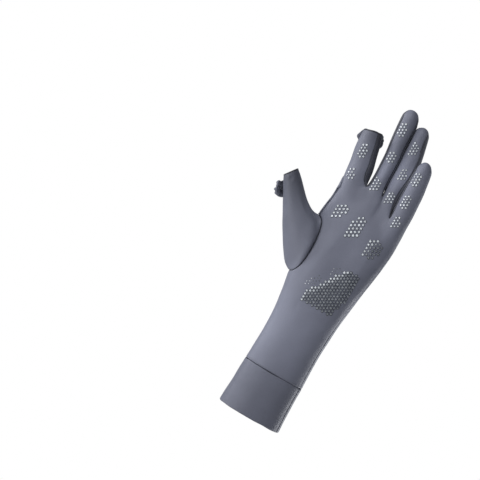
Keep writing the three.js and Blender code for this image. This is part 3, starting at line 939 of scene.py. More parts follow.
def hand_cage():
    bm = bmesh.new()
    grain = bm.loops.layers.uv.new("grain")
    palm_roots, back_roots = root_line(-1), root_line(1)
    panels = [0] * COLUMNS + [1] * COLUMNS

    def places(share):
        palm = sleeve_row(-1, palm_roots, share)
        back = sleeve_row(1, back_roots, share)
        return palm + back[COLUMNS - 1:0:-1]

    def spread(k, panel, lengths):
        return lengths[k] - lengths[COLUMNS // 2]

    ring = start_ring(bm, places(0))
    for r in range(1, SLEEVE_ROWS + 1):
        ring = add_row(bm, grain, ring, places(r / SLEEVE_ROWS), panels, spread)
    lengths = lengths_round([v.co for v in ring])
    palm_middle = lengths[COLUMNS // 2]
    palm = ring[: COLUMNS + 1]
    back = [ring[0]] + ring[:COLUMNS - 1:-1]
    crotches = []
    for i, crotch in enumerate(CROTCHES):
        front, rear = palm[root_column(i, 3)], back[root_column(i, 3)]
        chain = [bm.verts.new(front.co.lerp(rear.co, share)) for share in CROTCH_SHARES]
        for v, share in zip(chain, CROTCH_SHARES):
            v.co.z = lerp(v.co.z, crotch[2], math.sin(math.pi * share))
        for pair in zip([front, *chain], [*chain, rear]):
            bm.edges.new(pair)
        crotches.append(chain)
    for i in range(4):
        front = [palm[root_column(i, k)] for k in range(4)]
        rear = [back[root_column(i, k)] for k in (3, 2, 1, 0)]
        little = crotches[i] if i < 3 else [palm[COLUMNS - 1], palm[COLUMNS], back[COLUMNS - 1]]
        thumb = crotches[i - 1][::-1] if i > 0 else [back[1], palm[0], palm[1]]
        at_front = [lengths[root_column(i, k)] - palm_middle for k in (1, 2)]
        at_back = [lengths[2 * COLUMNS - root_column(i, k)] - palm_middle for k in (1, 2)]
        grain_at = finger_spread(sum(at_front) / 2, sum(at_back) / 2)
        add_finger(bm, grain, i, front + little + rear + thumb, grain_at)
    return bm


# Where the stretched glove swells or sinks: side, x, z, size across and up, height.
MOUNDS = [
    (-1, -17, 150, 15, 26, 1.6),
    (-1, 21, 142, 12, 30, 1.3),
    (-1, 3, 176, 15, 20, -1.3),
    (-1, -22, 217, 9, 9, 0.8),
    (-1, -3, 220, 8, 9, 0.8),
    (-1, 14, 215, 8, 9, 0.8),
    (-1, 29, 204, 8, 9, 0.8),
    (-1, -11.3, 225, 4.5, 7, 0.5),
    (-1, 5.2, 222.5, 4.5, 8, 1.0),
    (-1, 20.4, 209, 4.5, 8, 1.0),
    (1, -22, 214, 7, 10, 0.9),
    (1, -3, 217, 7, 10, 0.9),
    (1, 13, 211, 7, 10, 0.8),
    (1, 28, 201, 7, 10, 0.8),
    (1, 21, 104, 9, 11, 1.2),
    (1, -26, 104, 8, 12, 0.6),
    (1, -4, 150, 22, 30, 0.8),
]

# Fold lines in the cloth: side, width, depth and the points x, z that each follows.
FOLDS = [
    (-1, 1.4, 0.32, [(-12.2, 232), (-14.6, 229.6), (-17.4, 228.2)]),
    (-1, 1.2, 0.2, [(-12.6, 234.5), (-15.6, 234.6), (-18.0, 233.2)]),
    (-1, 2.0, 0.12, [(-14.4, 114), (-13.4, 108.5), (-12.0, 102)]),
    (-1, 3.2, 0.2, [(-24, 118), (-8, 114.5), (10, 115), (24, 119)]),
    (-1, 2.8, 0.15, [(-21, 126), (-6, 123.5), (8, 124.5)]),
    (-1, 2.6, 0.22, [(-28, 196), (-24, 190), (-22, 180), (-22, 170)]),
    (1, 2.4, 0.14, [(-11.4, 224), (-11.6, 216), (-12.4, 207)]),
    (1, 2.4, 0.14, [(5.9, 221), (5.6, 213), (5.0, 205)]),
    (1, 2.4, 0.14, [(20.6, 209), (20.2, 201), (19.4, 194)]),
    (1, 3.4, 0.22, [(-20, 116), (-4, 113), (14, 114)]),
    (1, 3.0, 0.16, [(-24, 126), (-12, 121), (2, 119)]),
]


# Two fingers that touch: their numbers and from where to where. Their flat ends below and
# above over the fade lengths, and the cloth of both runs past its middle by the overlap.
PRESSED = [(1, 2, 240, 296), (2, 3, 222, 262)]
PRESS_FADES = (5, 8)
PRESS_BELOW_TOP = 2
PRESS_REACH = (1.1, 4)
PRESS_OVERLAP = 0.16


def press_together(co, first, second, low, high):
    """Lets two fingers that lie side by side touch along a narrow flat."""
    below, above = PRESS_FADES
    heights = np.arange(low, min(high + above, second["top"] - PRESS_BELOW_TOP), 1.0)
    found = []
    for z in heights:
        ax, ay, a_wide, a_deep = finger_section(first, z)
        bx, by, b_wide, b_deep = finger_section(second, z)
        span = math.hypot(bx - ax, by - ay)
        cx, cy = (bx - ax) / span, (by - ay) / span
        a_reach = 1 / math.hypot(cx / a_wide, cy / a_deep)
        b_reach = 1 / math.hypot(cx / b_wide, cy / b_deep)
        half_gap = (span - a_reach - b_reach) / 2
        at = a_reach + half_gap
        found.append((ax + cx * at, ay + cy * at, cx, cy, half_gap))
    mx, my, cx, cy, half_gap = (np.interp(co[:, 2], heights, column) for column in zip(*found))
    away = (co[:, 0] - mx) * cx + (co[:, 1] - my) * cy
    beside = (co[:, 1] - my) * cx - (co[:, 0] - mx) * cy
    share = bell(np.abs(away) - half_gap, PRESS_REACH[0]) * bell(beside, PRESS_REACH[1])
    share *= np.interp(co[:, 2], [low - below, low, high, high + above], [0, 1, 1, 0])
    move = -np.sign(away) * np.maximum(half_gap + PRESS_OVERLAP, 0) * share
    co[:, 0] += move * cx
    co[:, 1] += move * cy


def even_out(mesh, co, weight, rounds):
    """Smooths the cloth where it spans from one finger's root to the next."""
    ends = np.empty(len(mesh.edges) * 2, np.int32)
    mesh.edges.foreach_get("vertices", ends)
    a, b = ends[::2], ends[1::2]
    count = np.bincount(a, minlength=len(co)) + np.bincount(b, minlength=len(co))
    for _ in range(rounds):
        for axis in range(3):
            total = np.bincount(a, co[b, axis], len(co)) + np.bincount(b, co[a, axis], len(co))
            co[:, axis] += weight * 0.5 * (total / count - co[:, axis])


# The palm's cloth below the fingers is evened out between these heights, and less near the
# highest points between two fingers.
EVEN_HEIGHTS = (186, 200, 224, 234)
EVEN_ROUNDS = 90
EVEN_KEEP_OFF = 6
EVEN_FADE = 5
EVEN_FACING = (1.6, 0.2)
# The unevenness of the hand, the thumb and the cuff: amount, shortest and longest wave, seed.
HAND_WAVER = (0.1, 13, 34, 3)
THUMB_WAVER = (0.1, 11, 28, 5)
CUFF_WAVER = (0.1, 12, 40, 8)


def palm_roots_share(co, no):
    """How near each point is to the palm's cloth below the fingers."""
    gain, loss = EVEN_FACING
    share = np.clip(-no[:, 1] * gain - loss, 0, 1)
    share *= np.interp(co[:, 2], EVEN_HEIGHTS, [0, 1, 1, 0])
    for x, y, z, *_ in CROTCHES:
        away = np.linalg.norm(co - np.array((x, y, z)), axis=1)
        share *= np.clip((away - EVEN_KEEP_OFF) / EVEN_FADE, 0, 1)
    return share


RIM_TILT = 1.7
RIM_TILT_FROM = 262
RIM_TILT_SPAN = 15
INDEX_RIGHT = -17
INDEX_HIGHEST = 280


def tilt_index_rim(co):
    """The index finger's open end rises to the middle finger's side."""
    x, z = co[:, 0], co[:, 2]
    near = (x < INDEX_RIGHT) & (z > RIM_TILT_FROM) & (z < INDEX_HIGHEST)
    share = np.clip((z - RIM_TILT_FROM) / RIM_TILT_SPAN, 0, 1) ** 2
    _, middle, _, wide, _ = FINGERS[0]["line"][-1]
    co[:, 2] += np.where(near, RIM_TILT * share * (x - middle) / wide, 0)


def make_hand():
    dense = smooth_surface(hand_cage(), 3)
    co, no = points_of(dense), normals_of(dense)
    even_out(dense, co, palm_roots_share(co, no), EVEN_ROUNDS)
    for first, second, low, high in PRESSED:
        press_together(co, FINGERS[first], FINGERS[second], low, high)
    tilt_index_rim(co)
    for side, x, z, rx, rz, height in MOUNDS:
        mound(co, no, side, x, z, rx, rz, height)
    for side, width, depth, path in FOLDS:
        fold(co, no, path, width, depth, side)
    waver(co, no, *HAND_WAVER)
    move_points(dense, co)
    return dense


FOLLOW_REACH = 9


def follow_hand(co, rim, hand_tree):
    """Moves the thumb's sewn edge on to the hand, and the cloth near it along."""
    tree = tree_of_points([Vector(p) for p in rim])
    shifts = [np.array(hand_tree.find_nearest(Vector(p))[0]) - p for p in rim]
    for n, p in enumerate(co):
        _, i, distance = tree.find(Vector(p))
        if distance < FOLLOW_REACH:
            co[n] += shifts[i] * (1 - smoothstep(distance, 0, FOLLOW_REACH))


# The pieces.


def open_loops(mesh):
    """The open edges of a mesh as closed chains of point numbers."""
    use = {}
    for polygon in mesh.polygons:
        for key in polygon.edge_keys:
            use[key] = use.get(key, 0) + 1
    after = {}
    for (a, b), count in use.items():
        if count == 1:
            after.setdefault(a, []).append(b)
            after.setdefault(b, []).append(a)
    left, loops = set(after), []
    while left:
        loop = [left.pop()]
        while True:
            onward = [v for v in after[loop[-1]] if v in left]
            if not onward:
                break
            loop.append(onward[0])
            left.discard(onward[0])
        loops.append(loop)
    return loops


HEM_SIDES = 8
HEM_THICK = 0.62
HEM_SUNK = 0.4
INDEX_HEM_HALF = 0.55
THUMB_HEM_HALF = 0.6


def make_hem(name, node, rim, half_width):
    """A narrow rolled hem round an open end."""
    middle = sum(rim, Vector()) / len(rim)
    rings = []
    for k, p in enumerate(rim):
        along_rim = (rim[(k + 1) % len(rim)] - rim[k - 1]).normalized()
        out = p - middle
        out = (out - along_rim * out.dot(along_rim)).normalized()
        up = along_rim.cross(out)
        ring = []
        for n in range(HEM_SIDES):
            turn = 2 * math.pi * n / HEM_SIDES
            roll = math.cos(turn) * out * HEM_THICK + math.sin(turn) * up * half_width
            ring.append(p - HEM_SUNK * out + roll)
        rings.append(ring)
    bm = loft(rings)
    join_ends(bm)
    bmesh.ops.recalc_face_normals(bm, faces=bm.faces)
    finish_piece(name, mesh_of(bm, name), HEM_KNIT, node)


hand = make_hand()
hand_tree = tree_of_mesh(hand)

seam_ring = thumb_seam()
thumb_rings = [thumb_ring(row, len(seam_ring)) for row in THUMB]
thumb_mesh = smooth_surface(loft([seam_ring] + thumb_rings), 4)
thumb_co, thumb_no = points_of(thumb_mesh), normals_of(thumb_mesh)
tip_loop, seam_loop = sorted(open_loops(thumb_mesh), key=lambda loop: thumb_co[loop[0], 0])

# The palm rises over the seam, and the thumb's cloth dips beside its upper half. The dip ends
# at the seam itself.
VALLEY = [
    (-38.5, -4.0, 190.0), (-34.5, -9.5, 186.5), (-31.4, -13.6, 180.2), (-29.6, -15.6, 171.5),
    (-29.0, -17.0, 162.0),
]
VALLEY_DEPTH = 3.4
VALLEY_WIDTH = 4.6
VALLEY_REACH = 12
VALLEY_FADE = 0.8
SEAM_KEPT = 2.2
FAR = 99
THUMB_FOLDS = [
    (2.2, 0.5, [(-45, -11, 184), (-52, -11, 190), (-60, -9, 196)]),
    (1.6, 0.35, [(-34, -16, 146), (-40, -16, 151), (-46, -15, 158)]),
    (1.5, 0.35, [(-73.5, -13, 200.5), (-74.5, -13.6, 206)]),
]

valley_distance, valley_share = distance_to_path(thumb_co, VALLEY)
dip = VALLEY_DEPTH * bell(valley_distance, VALLEY_WIDTH) * (1 - valley_share) ** VALLEY_FADE
rim_distance = np.array([
    min((Vector(p) - Vector(thumb_co[v])).length for v in seam_loop[::4])
    if d < VALLEY_REACH else FAR for p, d in zip(thumb_co, valley_distance)
])
thumb_co -= thumb_no * (dip * np.clip(rim_distance / SEAM_KEPT, 0, 1))[:, None]
for width, depth, path in THUMB_FOLDS:
    fold(thumb_co, thumb_no, path, width, depth)
waver(thumb_co, thumb_no, *THUMB_WAVER)
follow_hand(thumb_co, [thumb_co[v].copy() for v in seam_loop], hand_tree)
move_points(thumb_mesh, thumb_co)
seam_outline = np.array([unrolled(thumb_co[v]) for v in seam_loop])

# How flat the seams lie at the cuff, how wide a finger reaches, and from where to where below
# its top its seams lie flat.
CUFF_EASE = 0.25
FINGER_REACH = 10
TIP_EASE = (14, 5)


def seam_ease(p):
    """The seams lie flat over the fingertips, and the sleeve's end lies flat on the cuff."""
    share = lerp(CUFF_EASE, 1.0, smoothstep(p.z, SLEEVE_START + 1, SLEEVE_START + 3))
    for finger in FINGERS[1:]:
        low, high = (finger["top"] - below for below in TIP_EASE)
        if abs(p.x - finger["line"][-1][1]) < FINGER_REACH:
            share = min(share, 1 - smoothstep(p.z, low, high))
    return share


hand_co = points_of(hand)
index_rim = max(open_loops(hand), key=lambda loop: hand_co[loop[0], 2])
index_ring = [Vector(hand_co[v]) for v in index_rim[::2]]
thumb_ring_points = [Vector(thumb_co[v]) for v in tip_loop[::3]]
make_hem("index_hem", "palm_panel", index_ring, INDEX_HEM_HALF)
make_hem("thumb_hem", "thumb", thumb_ring_points, THUMB_HEM_HALF)

# The sewn edges of the hand and of the thumb: depth, width and height of the puckers.
HAND_SEAM = (0.45, 1.1, 0.06)
THUMB_SEAM = (0.55, 1.1, 0.08)

panel_objects = {}
for number, name in enumerate(PANELS):
    bm = keep_panel(hand, number)
    if number < 2:
        cut_thumb_hole(bm, seam_outline)
    turn_in_edges(bm, *HAND_SEAM, seam_ease)
    # The side strips take the knit darkened as painted shade.
    knit = STRIP_PAINTED_SHADE_KNIT if number > 1 else KNIT
    piece = finish_piece(name + "_cloth", mesh_of(bm, name), knit, name, WALL)
    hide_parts(name)
    panel_objects[name] = piece

bm = bmesh.new()
bm.from_mesh(thumb_mesh)
turn_in_edges(bm, *THUMB_SEAM)
thumb = finish_piece("thumb_cloth", mesh_of(bm, "thumb"), KNIT, "thumb", WALL)
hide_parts("thumb")

# The cuff band: a doubled band, folded at its open end and sewn in at its top. Each row has
# its height and how far it lies off the sleeve's surface.
CUFF_PROFILE = [
    (42.5, -1.5), (30.0, -1.6), (12.0, -1.6), (2.4, -1.6), (0.7, -1.45), (0.05, -0.8),
    (0.5, -0.1), (2.2, 0.12), (10.0, 0.12), (20.0, 0.1), (30.0, 0.1), (40.0, 0.14),
    (43.3, 0.18), (44.3, -0.1), (44.6, -0.75), (44.3, -1.35),
]
CUFF_SIDES = 64
# The slight waves of both ends of the cuff: height, waves round it and where they start. Only
# the rows near an end take them, by these shares.
CUFF_WAVES = [(0.16, 5, 1), (0.12, 9, 0)]
OPEN_END = 5
SEWN_END = 38
SEWN_SHARE = 0.8
CUFF_SEAM_HEIGHTS = (0, 10, 20, 30, 40, 45)
CUFF_SEAM_WIDTH = 0.6
CUFF_SEAM_DEPTH = 0.55
CUFF_SEAM_PUFF = 0.15
# The painted shade lines of the side seams have a width. Those at the top and at the open end,
# also painted shade, have a strength, a height and a width.
SIDE_SEAM_SHADE = 0.7
END_SEAM_SHADES = [(0.35, 44.7, 0.4), (0.8, 0, 0.6)]


def cuff_ring(height, off):
    share = 1 if height < OPEN_END else SEWN_SHARE if height > SEWN_END else 0
    ring = []
    for k in range(CUFF_SIDES):
        angle = -180 + 360 * k / CUFF_SIDES
        lift = sum(h * math.sin(math.radians(n * angle) + start) for h, n, start in CUFF_WAVES)
        ring.append(sleeve_point(max(height + lift * share, 0), angle, off))
    return ring


bm = loft([cuff_ring(*row) for row in CUFF_PROFILE])
join_ends(bm)
cuff_mesh = smooth_surface(bm, 3)
co, no = points_of(cuff_mesh), normals_of(cuff_mesh)
cuff_seams = [
    [sleeve_point(z, angle) for z in CUFF_SEAM_HEIGHTS]
    for angle in (LITTLE_SIDE_SEAM[0], THUMB_SIDE_SEAM)
]
for line in cuff_seams:
    fold(co, no, line, CUFF_SEAM_WIDTH, CUFF_SEAM_DEPTH, puff=CUFF_SEAM_PUFF, ends=False)
waver(co, no, *CUFF_WAVER)
# Painted shade along the cuff's side seams, at its sewn top and at its folded open end.
sewn = [bell(distance_to_path(co, line)[0], SIDE_SEAM_SHADE) for line in cuff_seams]
sewn += [strength * bell(co[:, 2] - height, width) for strength, height, width in END_SEAM_SHADES]
move_points(cuff_mesh, co)
mark_painted_shade(cuff_mesh, np.max(sewn, axis=0))
cuff = finish_piece("cuff_cloth", cuff_mesh, CUFF_KNIT, "cuff_band")
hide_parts("cuff_band")

# A flipped cap is a flattened pocket with its mouth up. Its rings run from the mouth to the
# fingertip: distance towards the hand, half width, half depth, distance out and bow.
CAP_RINGS = [
    (-1.6, 9.8, 2.5, 3.3, 3.6),
    (1.2, 11.4, 3.5, 4.3, 4.6),
    (4.6, 12.6, 4.2, 5.0, 5.0),
    (8.2, 12.1, 4.3, 5.1, 4.2),
    (11.4, 9.4, 3.7, 4.5, 2.2),
    (13.6, 5.4, 2.3, 3.3, 0.8),
]
CAP_LIP = (-2.2, 9.5, 2.3, 3.2, 3.6)
CAP_SIDES = 28
CAP_END = Vector((0, 3.0, -14.4))
CAP_END_INSIDE = Vector((0, 4.5, -12.2))
# The folds on a cap's back: width, depth and the points x, z that each follows. Its front has
# them mirrored, by these shares of place, width and depth.
CAP_FOLDS = [
    (2.0, 3.2, [(-8.0, -13.0), (-3.5, -9.4), (3.0, -5.2), (8.5, -3.0), (13.0, -2.0)]),
    (1.3, 1.7, [(12.5, -7.4), (6.0, -8.0), (1.0, -9.6), (-2.0, -11.6)]),
    (1.2, 1.2, [(-12.0, -4.0), (-6.0, -2.6), (0.0, -0.4)]),
    (0.9, 0.8, [(-11.0, -7.6), (-6.5, -6.4), (-2.0, -4.0)]),
]
CAP_PUFF = 0.55
CAP_FRONT = (0.9, 1.2, 0.4)
CAP_FRONT_PUFF = 0.4
# How far the painted shade in a crease on the cap's back reaches, by the fold's width.
CREASE_SHADE_WIDTH = 0.6
# One corner is drawn out, by how much and where. The waves of the cloth have a number, their
# shortest and longest length and a seed, and the mouth has a height, a pace and an end.
CAP_CORNER = 2.0
CORNER_FROM = 4
CORNER_SPAN = 8
CORNER_HEIGHT = -8.5
CORNER_WIDTH = 3.2
CAP_WAVES = (9, 5, 9, 11)
CAP_WAVE_HEIGHT = 0.035
MOUTH_WAVE = 0.9
MOUTH_PACE = 0.33
MOUTH_END = -12


def cap_ring(row, wall):
    down, wide, deep, out, bow = row
    ring = []
    for k in range(CAP_SIDES):
        turn = 2 * math.pi * k / CAP_SIDES
        across = math.cos(turn)
        depth = math.sin(turn) * (deep - wall) - bow * across**2
        ring.append(Vector((across * (wide - wall), out + depth, -down)))
    return ring


def make_cap(name, node, knit, at, axis, out, size, flip):
    """Models one cap lying flat, and then sets it on the back of its finger."""
    outside = [cap_ring(row, 0) for row in reversed(CAP_RINGS)]
    inside = [cap_ring(row, WALL) for row in CAP_RINGS[:-1]]
    cage = loft(outside + [cap_ring(CAP_LIP, WALL / 2)] + inside, CAP_END, CAP_END_INSIDE)
    mesh = smooth_surface(cage, 3, 2)
    co, no = points_of(mesh), normals_of(mesh)
    co[:, 2] += MOUTH_WAVE * np.sin(co[:, 0] * MOUTH_PACE + flip) * (co[:, 2] > MOUTH_END)
    corner = np.clip((-co[:, 0] * flip - CORNER_FROM) / CORNER_SPAN, 0, 1)
    co[:, 0] -= flip * CAP_CORNER * corner * bell(co[:, 2] - CORNER_HEIGHT, CORNER_WIDTH)
    # Painted shade in the creases on the cap's back, stronger for deeper folds.
    crease = np.zeros(len(co))
    nearer, wider, shallower = CAP_FRONT
    for width, depth, path in CAP_FOLDS:
        line = [(x * flip, z) for x, z in path]
        near = bell(distance_to_path(co[:, [0, 2]], line)[0], CREASE_SHADE_WIDTH * width)
        crease = np.maximum(crease, near * np.clip(no[:, 1], 0, 1) * min(depth / 2, 1))
        fold(co, no, line, width, depth, 1, CAP_PUFF)
        front = [(-x * flip * nearer, z + 1) for x, z in path]
        fold(co, no, front, width * wider, depth * shallower, -1, CAP_FRONT_PUFF)
    for wave in waves(co, *CAP_WAVES):
        co += no * (CAP_WAVE_HEIGHT * wave)[:, None]
    up = Vector(axis).normalized()
    back = Vector(out)
    back = (back - up * back.dot(up)).normalized()
    turn = np.array([back.cross(up), back, up])
    move_points(mesh, np.array(at) + (co * np.array(size)) @ turn)
    mark_painted_shade(mesh, crease)
    piece = finish_piece(name, mesh, knit, node)
    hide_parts(node)


# The index cap takes the knit darkened as painted shade, the thumb cap the knit lightened as
# painted light.
make_cap(
    "index_cap_cloth", "index_cap", CAP_PAINTED_SHADE_KNIT, (-29.1, 7.6, 277.0), (-0.08, -0.07, 0.99),
    (0, 1, 0), (0.94, 1, 0.97), 1,
)
make_cap(
    "thumb_cap_cloth", "thumb_cap", THUMB_CAP_PAINTED_LIGHT_KNIT, (-77.1, 0.5, 197.6), (-0.47, -0.12, 0.87),
    (-0.62, 0.66, -0.34), (0.86, 0.78, 0.92), -1,
)

# Grip dots.

# Where the front view is seen from, which of its points lies straight ahead, and its steps.
VIEW_FROM = Vector((-86.0, -1300.0, 133.0))
VIEW_MIDDLE = (-95.4, 151.2)
PIXEL = 0.9

# Patches of dots: name, pitch, radius in millimetres and outline. Pitch and outline are in
# the front view's steps.
PATCHES = [
    ("index_tip", 3.4, 1.3,
     [(-39, 285), (-38, 296), (-33, 298), (-28, 290), (-28.5, 283), (-33, 280)]),
    ("index_base", 3.4, 1.26,
     [(-38, 261), (-36.5, 270.5), (-32, 272), (-29, 266), (-29, 258.5), (-33.5, 256)]),
    ("middle_tip", 3.3, 1.22,
     [(-15, 324), (-14, 333), (-9.5, 335), (-5.5, 329), (-6, 320.5), (-10, 318)]),
    ("middle_mid", 3.4, 1.3,
     [(-11.5, 293.5), (-11, 303.5), (-7, 306), (-1, 301), (-1, 293.5), (-5, 290)]),
    ("middle_base", 3.4, 1.3,
     [(-11, 261.5), (-10, 272.5), (-6, 275.5), (-1, 271), (-1, 262.5), (-5.5, 258.5)]),
    ("ring_tip", 3.2, 1.2,
     [(5, 312.5), (5.5, 322), (9.5, 325), (14, 320), (14, 311.5), (9, 308.5)]),
    ("ring_mid", 3.3, 1.22,
     [(8, 284.5), (8.5, 293.5), (12.5, 297.5), (17.5, 292), (17.5, 284.5), (12.5, 281.5)]),
    ("ring_base", 3.3, 1.22,
     [(8, 257), (8.5, 267), (12.5, 270.5), (17.5, 266), (17.5, 258), (13, 254.5)]),
    ("little_tip", 3.2, 1.2,
     [(24.5, 286.5), (24.5, 297.5), (27.5, 300), (31.5, 295), (32, 286.5), (28, 283.5)]),
    ("little_mid", 3.3, 1.2,
     [(26.5, 261.5), (26.5, 272.5), (30, 275.5), (34.5, 270), (34.5, 261.5), (30.5, 258.5)]),
    ("little_base", 3.3, 1.2,
     [(26, 239.5), (26.5, 249.5), (30, 252.5), (35.5, 247), (35, 239.5), (30, 237)]),
    ("palm_index", 3.9, 1.46,
     [(-31, 221), (-30.5, 229), (-25, 235), (-16.5, 235.5), (-16.5, 227), (-22, 217), (-28, 216)]),
    ("palm_middle", 4.0, 1.54,
     [(-10, 208), (-9.5, 219), (-5, 230.5), (0, 233), (7, 229.5), (6.5, 220), (2, 208.5),
      (-5, 205.5)]),
    ("palm_little", 3.8, 1.44,
     [(15, 200), (16, 211), (19, 220), (24, 221.5), (32, 217), (31.5, 206), (27, 199),
      (20, 198)]),
    ("heel", 3.4, 1.51,
     [(-15, 131), (-14.5, 140), (-6, 150), (3, 164), (12, 178.5), (26.5, 178.5), (27, 150),
      (20, 130), (0, 129), (-9, 129.5)]),
    ("heel_edge_low", 3.1, 0.62, [(-17, 143), (-17, 152), (-8, 161), (-3.5, 158), (-9, 148)]),
    ("heel_edge_high", 3.1, 0.62,
     [(-2.5, 166), (-1.5, 172.5), (6, 177.5), (9.5, 176), (2.5, 165.5)]),
]
# The patches whose dots are painted dark as shade, with a painted glint only along one edge: that
# edge and how far it reaches, and what is left of the glint beyond it. The glint comes in over a
# share of the reach, and single dots glint to varying shares.
GLINT_EDGE_PATCHES = {
    "heel": ([(-15, 130), (-14.5, 140), (-6, 150), (3, 164), (12, 178.5)], 5.5, 0.31),
    "palm_little": ([(15, 200), (16, 211), (19, 220), (24, 221.5)], 7.5, 0.27),
    "heel_edge_low": ([(-17, 143), (-17, 152)], 6.0, 0.3),
    "heel_edge_high": ([(-2.5, 166), (-1.5, 172.5)], 5.0, 0.3),
}
GLINT_FADE = 0.4
GLINT_SPREAD = (0.55, 1)
EDGE_GLINT_SPREAD = (0.6, 1)
# A dot: its height and the spread of its sizes by its radius, how deep it is sunk, where its ball
# is cut off, and from where to where up it the painted highlight comes in. Columns of dots lie a
# share of the pitch apart.
DOT_LIFT = 0.42
DOT_SIZES = (0.93, 1.05)
DOT_SUNK = 0.05
DOT_FOOT = -0.1
DOT_SIDES = 10
COLUMN_STEP = 0.866
GLINT_HEIGHTS = (0.58, 0.88)
FACES_FRONT = -0.2


def inside_outline(x, y, outline):
    found = False
    for (ax, ay), (bx, by) in zip(outline, outline[1:] + outline[:1]):
        if (ay > y) != (by > y) and x < ax + (y - ay) * (bx - ax) / (by - ay):
            found = not found
    return found


def seat_on(tree, across, up):
    """Where the front view's point meets the cloth, and the cloth's direction there."""
    x = VIEW_FROM.x + (across - VIEW_MIDDLE[0]) * PIXEL
    z = VIEW_FROM.z + (up - VIEW_MIDDLE[1]) * PIXEL
    aim = (Vector((x, 0, z)) - VIEW_FROM).normalized()
    place, normal, _, _ = tree.ray_cast(VIEW_FROM * MM, aim)
    return place, normal


def glint_strength(name, across, up):
    """How strong a dot's painted glint is."""
    if name not in GLINT_EDGE_PATCHES:
        return random.uniform(*GLINT_SPREAD)
    edge, reach, left = GLINT_EDGE_PATCHES[name]
    distance = distance_to_path(np.array([(across, up)]), edge)[0][0]
    clear = lerp(left, 1, smoothstep(distance, reach, reach * GLINT_FADE))
    return clear * random.uniform(*EDGE_GLINT_SPREAD)


def dome(bm, place, normal, radius, clear):
    """One raised dot: the upper part of a flattened ball, sunk slightly into the cloth."""
    made = bmesh.ops.create_uvsphere(bm, u_segments=DOT_SIDES, v_segments=DOT_SIDES, radius=1)
    low = [v for v in made["verts"] if v.co.z < DOT_FOOT]
    bmesh.ops.delete(bm, geom=low, context="VERTS")
    kept = [v for v in made["verts"] if v.is_valid]
    painted_glint = bm.verts.layers.float["painted_glint"]
    for v in kept:
        # The painted highlight on the dot's crown, as strong as its glint.
        v[painted_glint] = clear * smoothstep(v.co.z, *GLINT_HEIGHTS)
    turn = normal.to_track_quat("Z", "Y").to_matrix().to_4x4()
    size = Matrix.Diagonal((radius, radius, DOT_LIFT * radius, 1))
    bmesh.ops.transform(bm, verts=kept, matrix=Matrix.Translation(place) @ turn @ size)


palm_tree = tree_of_mesh(panel_objects["palm_panel"].data)
for name, pitch, radius, outline in PATCHES:
    bm = bmesh.new()
    bm.verts.layers.float.new("painted_glint")
    columns = [p[0] for p in outline]
    rows = [p[1] for p in outline]
    step = pitch * COLUMN_STEP
    count = int((max(columns) - min(columns)) / step) + 2
    for c in range(count):
        across = min(columns) + c * step
        up = min(rows) + (pitch / 2 if c % 2 else 0)
        while up <= max(rows):
            if inside_outline(across, up, outline):
                place, normal = seat_on(palm_tree, across, up)
                if place is not None and normal.y < FACES_FRONT:
                    size = radius * random.uniform(*DOT_SIZES)
                    clear = glint_strength(name, across, up)
                    dome(bm, place / MM - normal * DOT_SUNK, normal, size, clear)
            up += pitch
    bmesh.ops.recalc_face_normals(bm, faces=bm.faces)
    finish_piece("grip_" + name, mesh_of(bm, name), SILICONE, "palm_panel")

# Cuff print and stitches.

# The print is a line over five plain rings, in millimetres on the cuff's back.
PRINT_HEIGHT = 15.5
PRINT_LIFT = 0.3
PRINT_THICK = 0.05
PRINT_RINGS = 5
RING_STEP = 9.2
RING_OUTSIDE = 3.7
RING_INSIDE = 2.7
LINE_HEIGHT = 6.3
LINE_HALF = (21, 0.25)
STITCHES = 66
STITCH_HEIGHT = 46.3
STITCH_SIZE = (0.75, 0.17, 0.17, 1)
STITCH_LIFT = 0.04


def cuff_axes(angle, z):
    """The directions along, up and out of the sleeve's surface at a point."""
    ahead = sleeve_point(z, angle + 0.5) - sleeve_point(z, angle - 0.5)
    rise = sleeve_point(z + 1, angle) - sleeve_point(z - 1, angle)
    return ahead.normalized(), rise.normalized(), ahead.cross(rise).normalized()


def lay_on_cuff(verts, z, lift):
    """Wraps a flat print, drawn in X and Y, round the cuff's back."""
    for v in verts:
        height = z + v.co.y
        v.co = sleeve_point(height, sleeve_angle(height, v.co.x, 1), lift)


bm = bmesh.new()
for k in range(PRINT_RINGS):
    before = set(bm.verts)
    ring = bmesh.ops.create_circle(bm, segments=32, radius=RING_OUTSIDE)["verts"]
    rim_edges = [e for e in bm.edges if e.verts[0] in ring and e.verts[1] in ring]
    grown = bmesh.ops.extrude_edge_only(bm, edges=rim_edges)["geom"]
    for v in grown:
        if isinstance(v, bmesh.types.BMVert):
            v.co *= RING_INSIDE / RING_OUTSIDE
    fresh = [v for v in bm.verts if v not in before]
    bmesh.ops.translate(bm, verts=fresh, vec=((k - PRINT_RINGS // 2) * RING_STEP, 0, 0))
bar = bmesh.ops.create_grid(bm, x_segments=60, y_segments=1, size=1)["verts"]
for v in bar:
    v.co = Vector((v.co.x * LINE_HALF[0], LINE_HEIGHT + v.co.y * LINE_HALF[1], 0))
lay_on_cuff(bm.verts, PRINT_HEIGHT, PRINT_LIFT)
bmesh.ops.recalc_face_normals(bm, faces=bm.faces)
mesh = mesh_of(bm, "cuff_print")
printed = finish_piece("cuff_print", mesh, SILVER_PRINT, "cuff_band", PRINT_THICK)
printed.modifiers["Cloth"].offset = 0

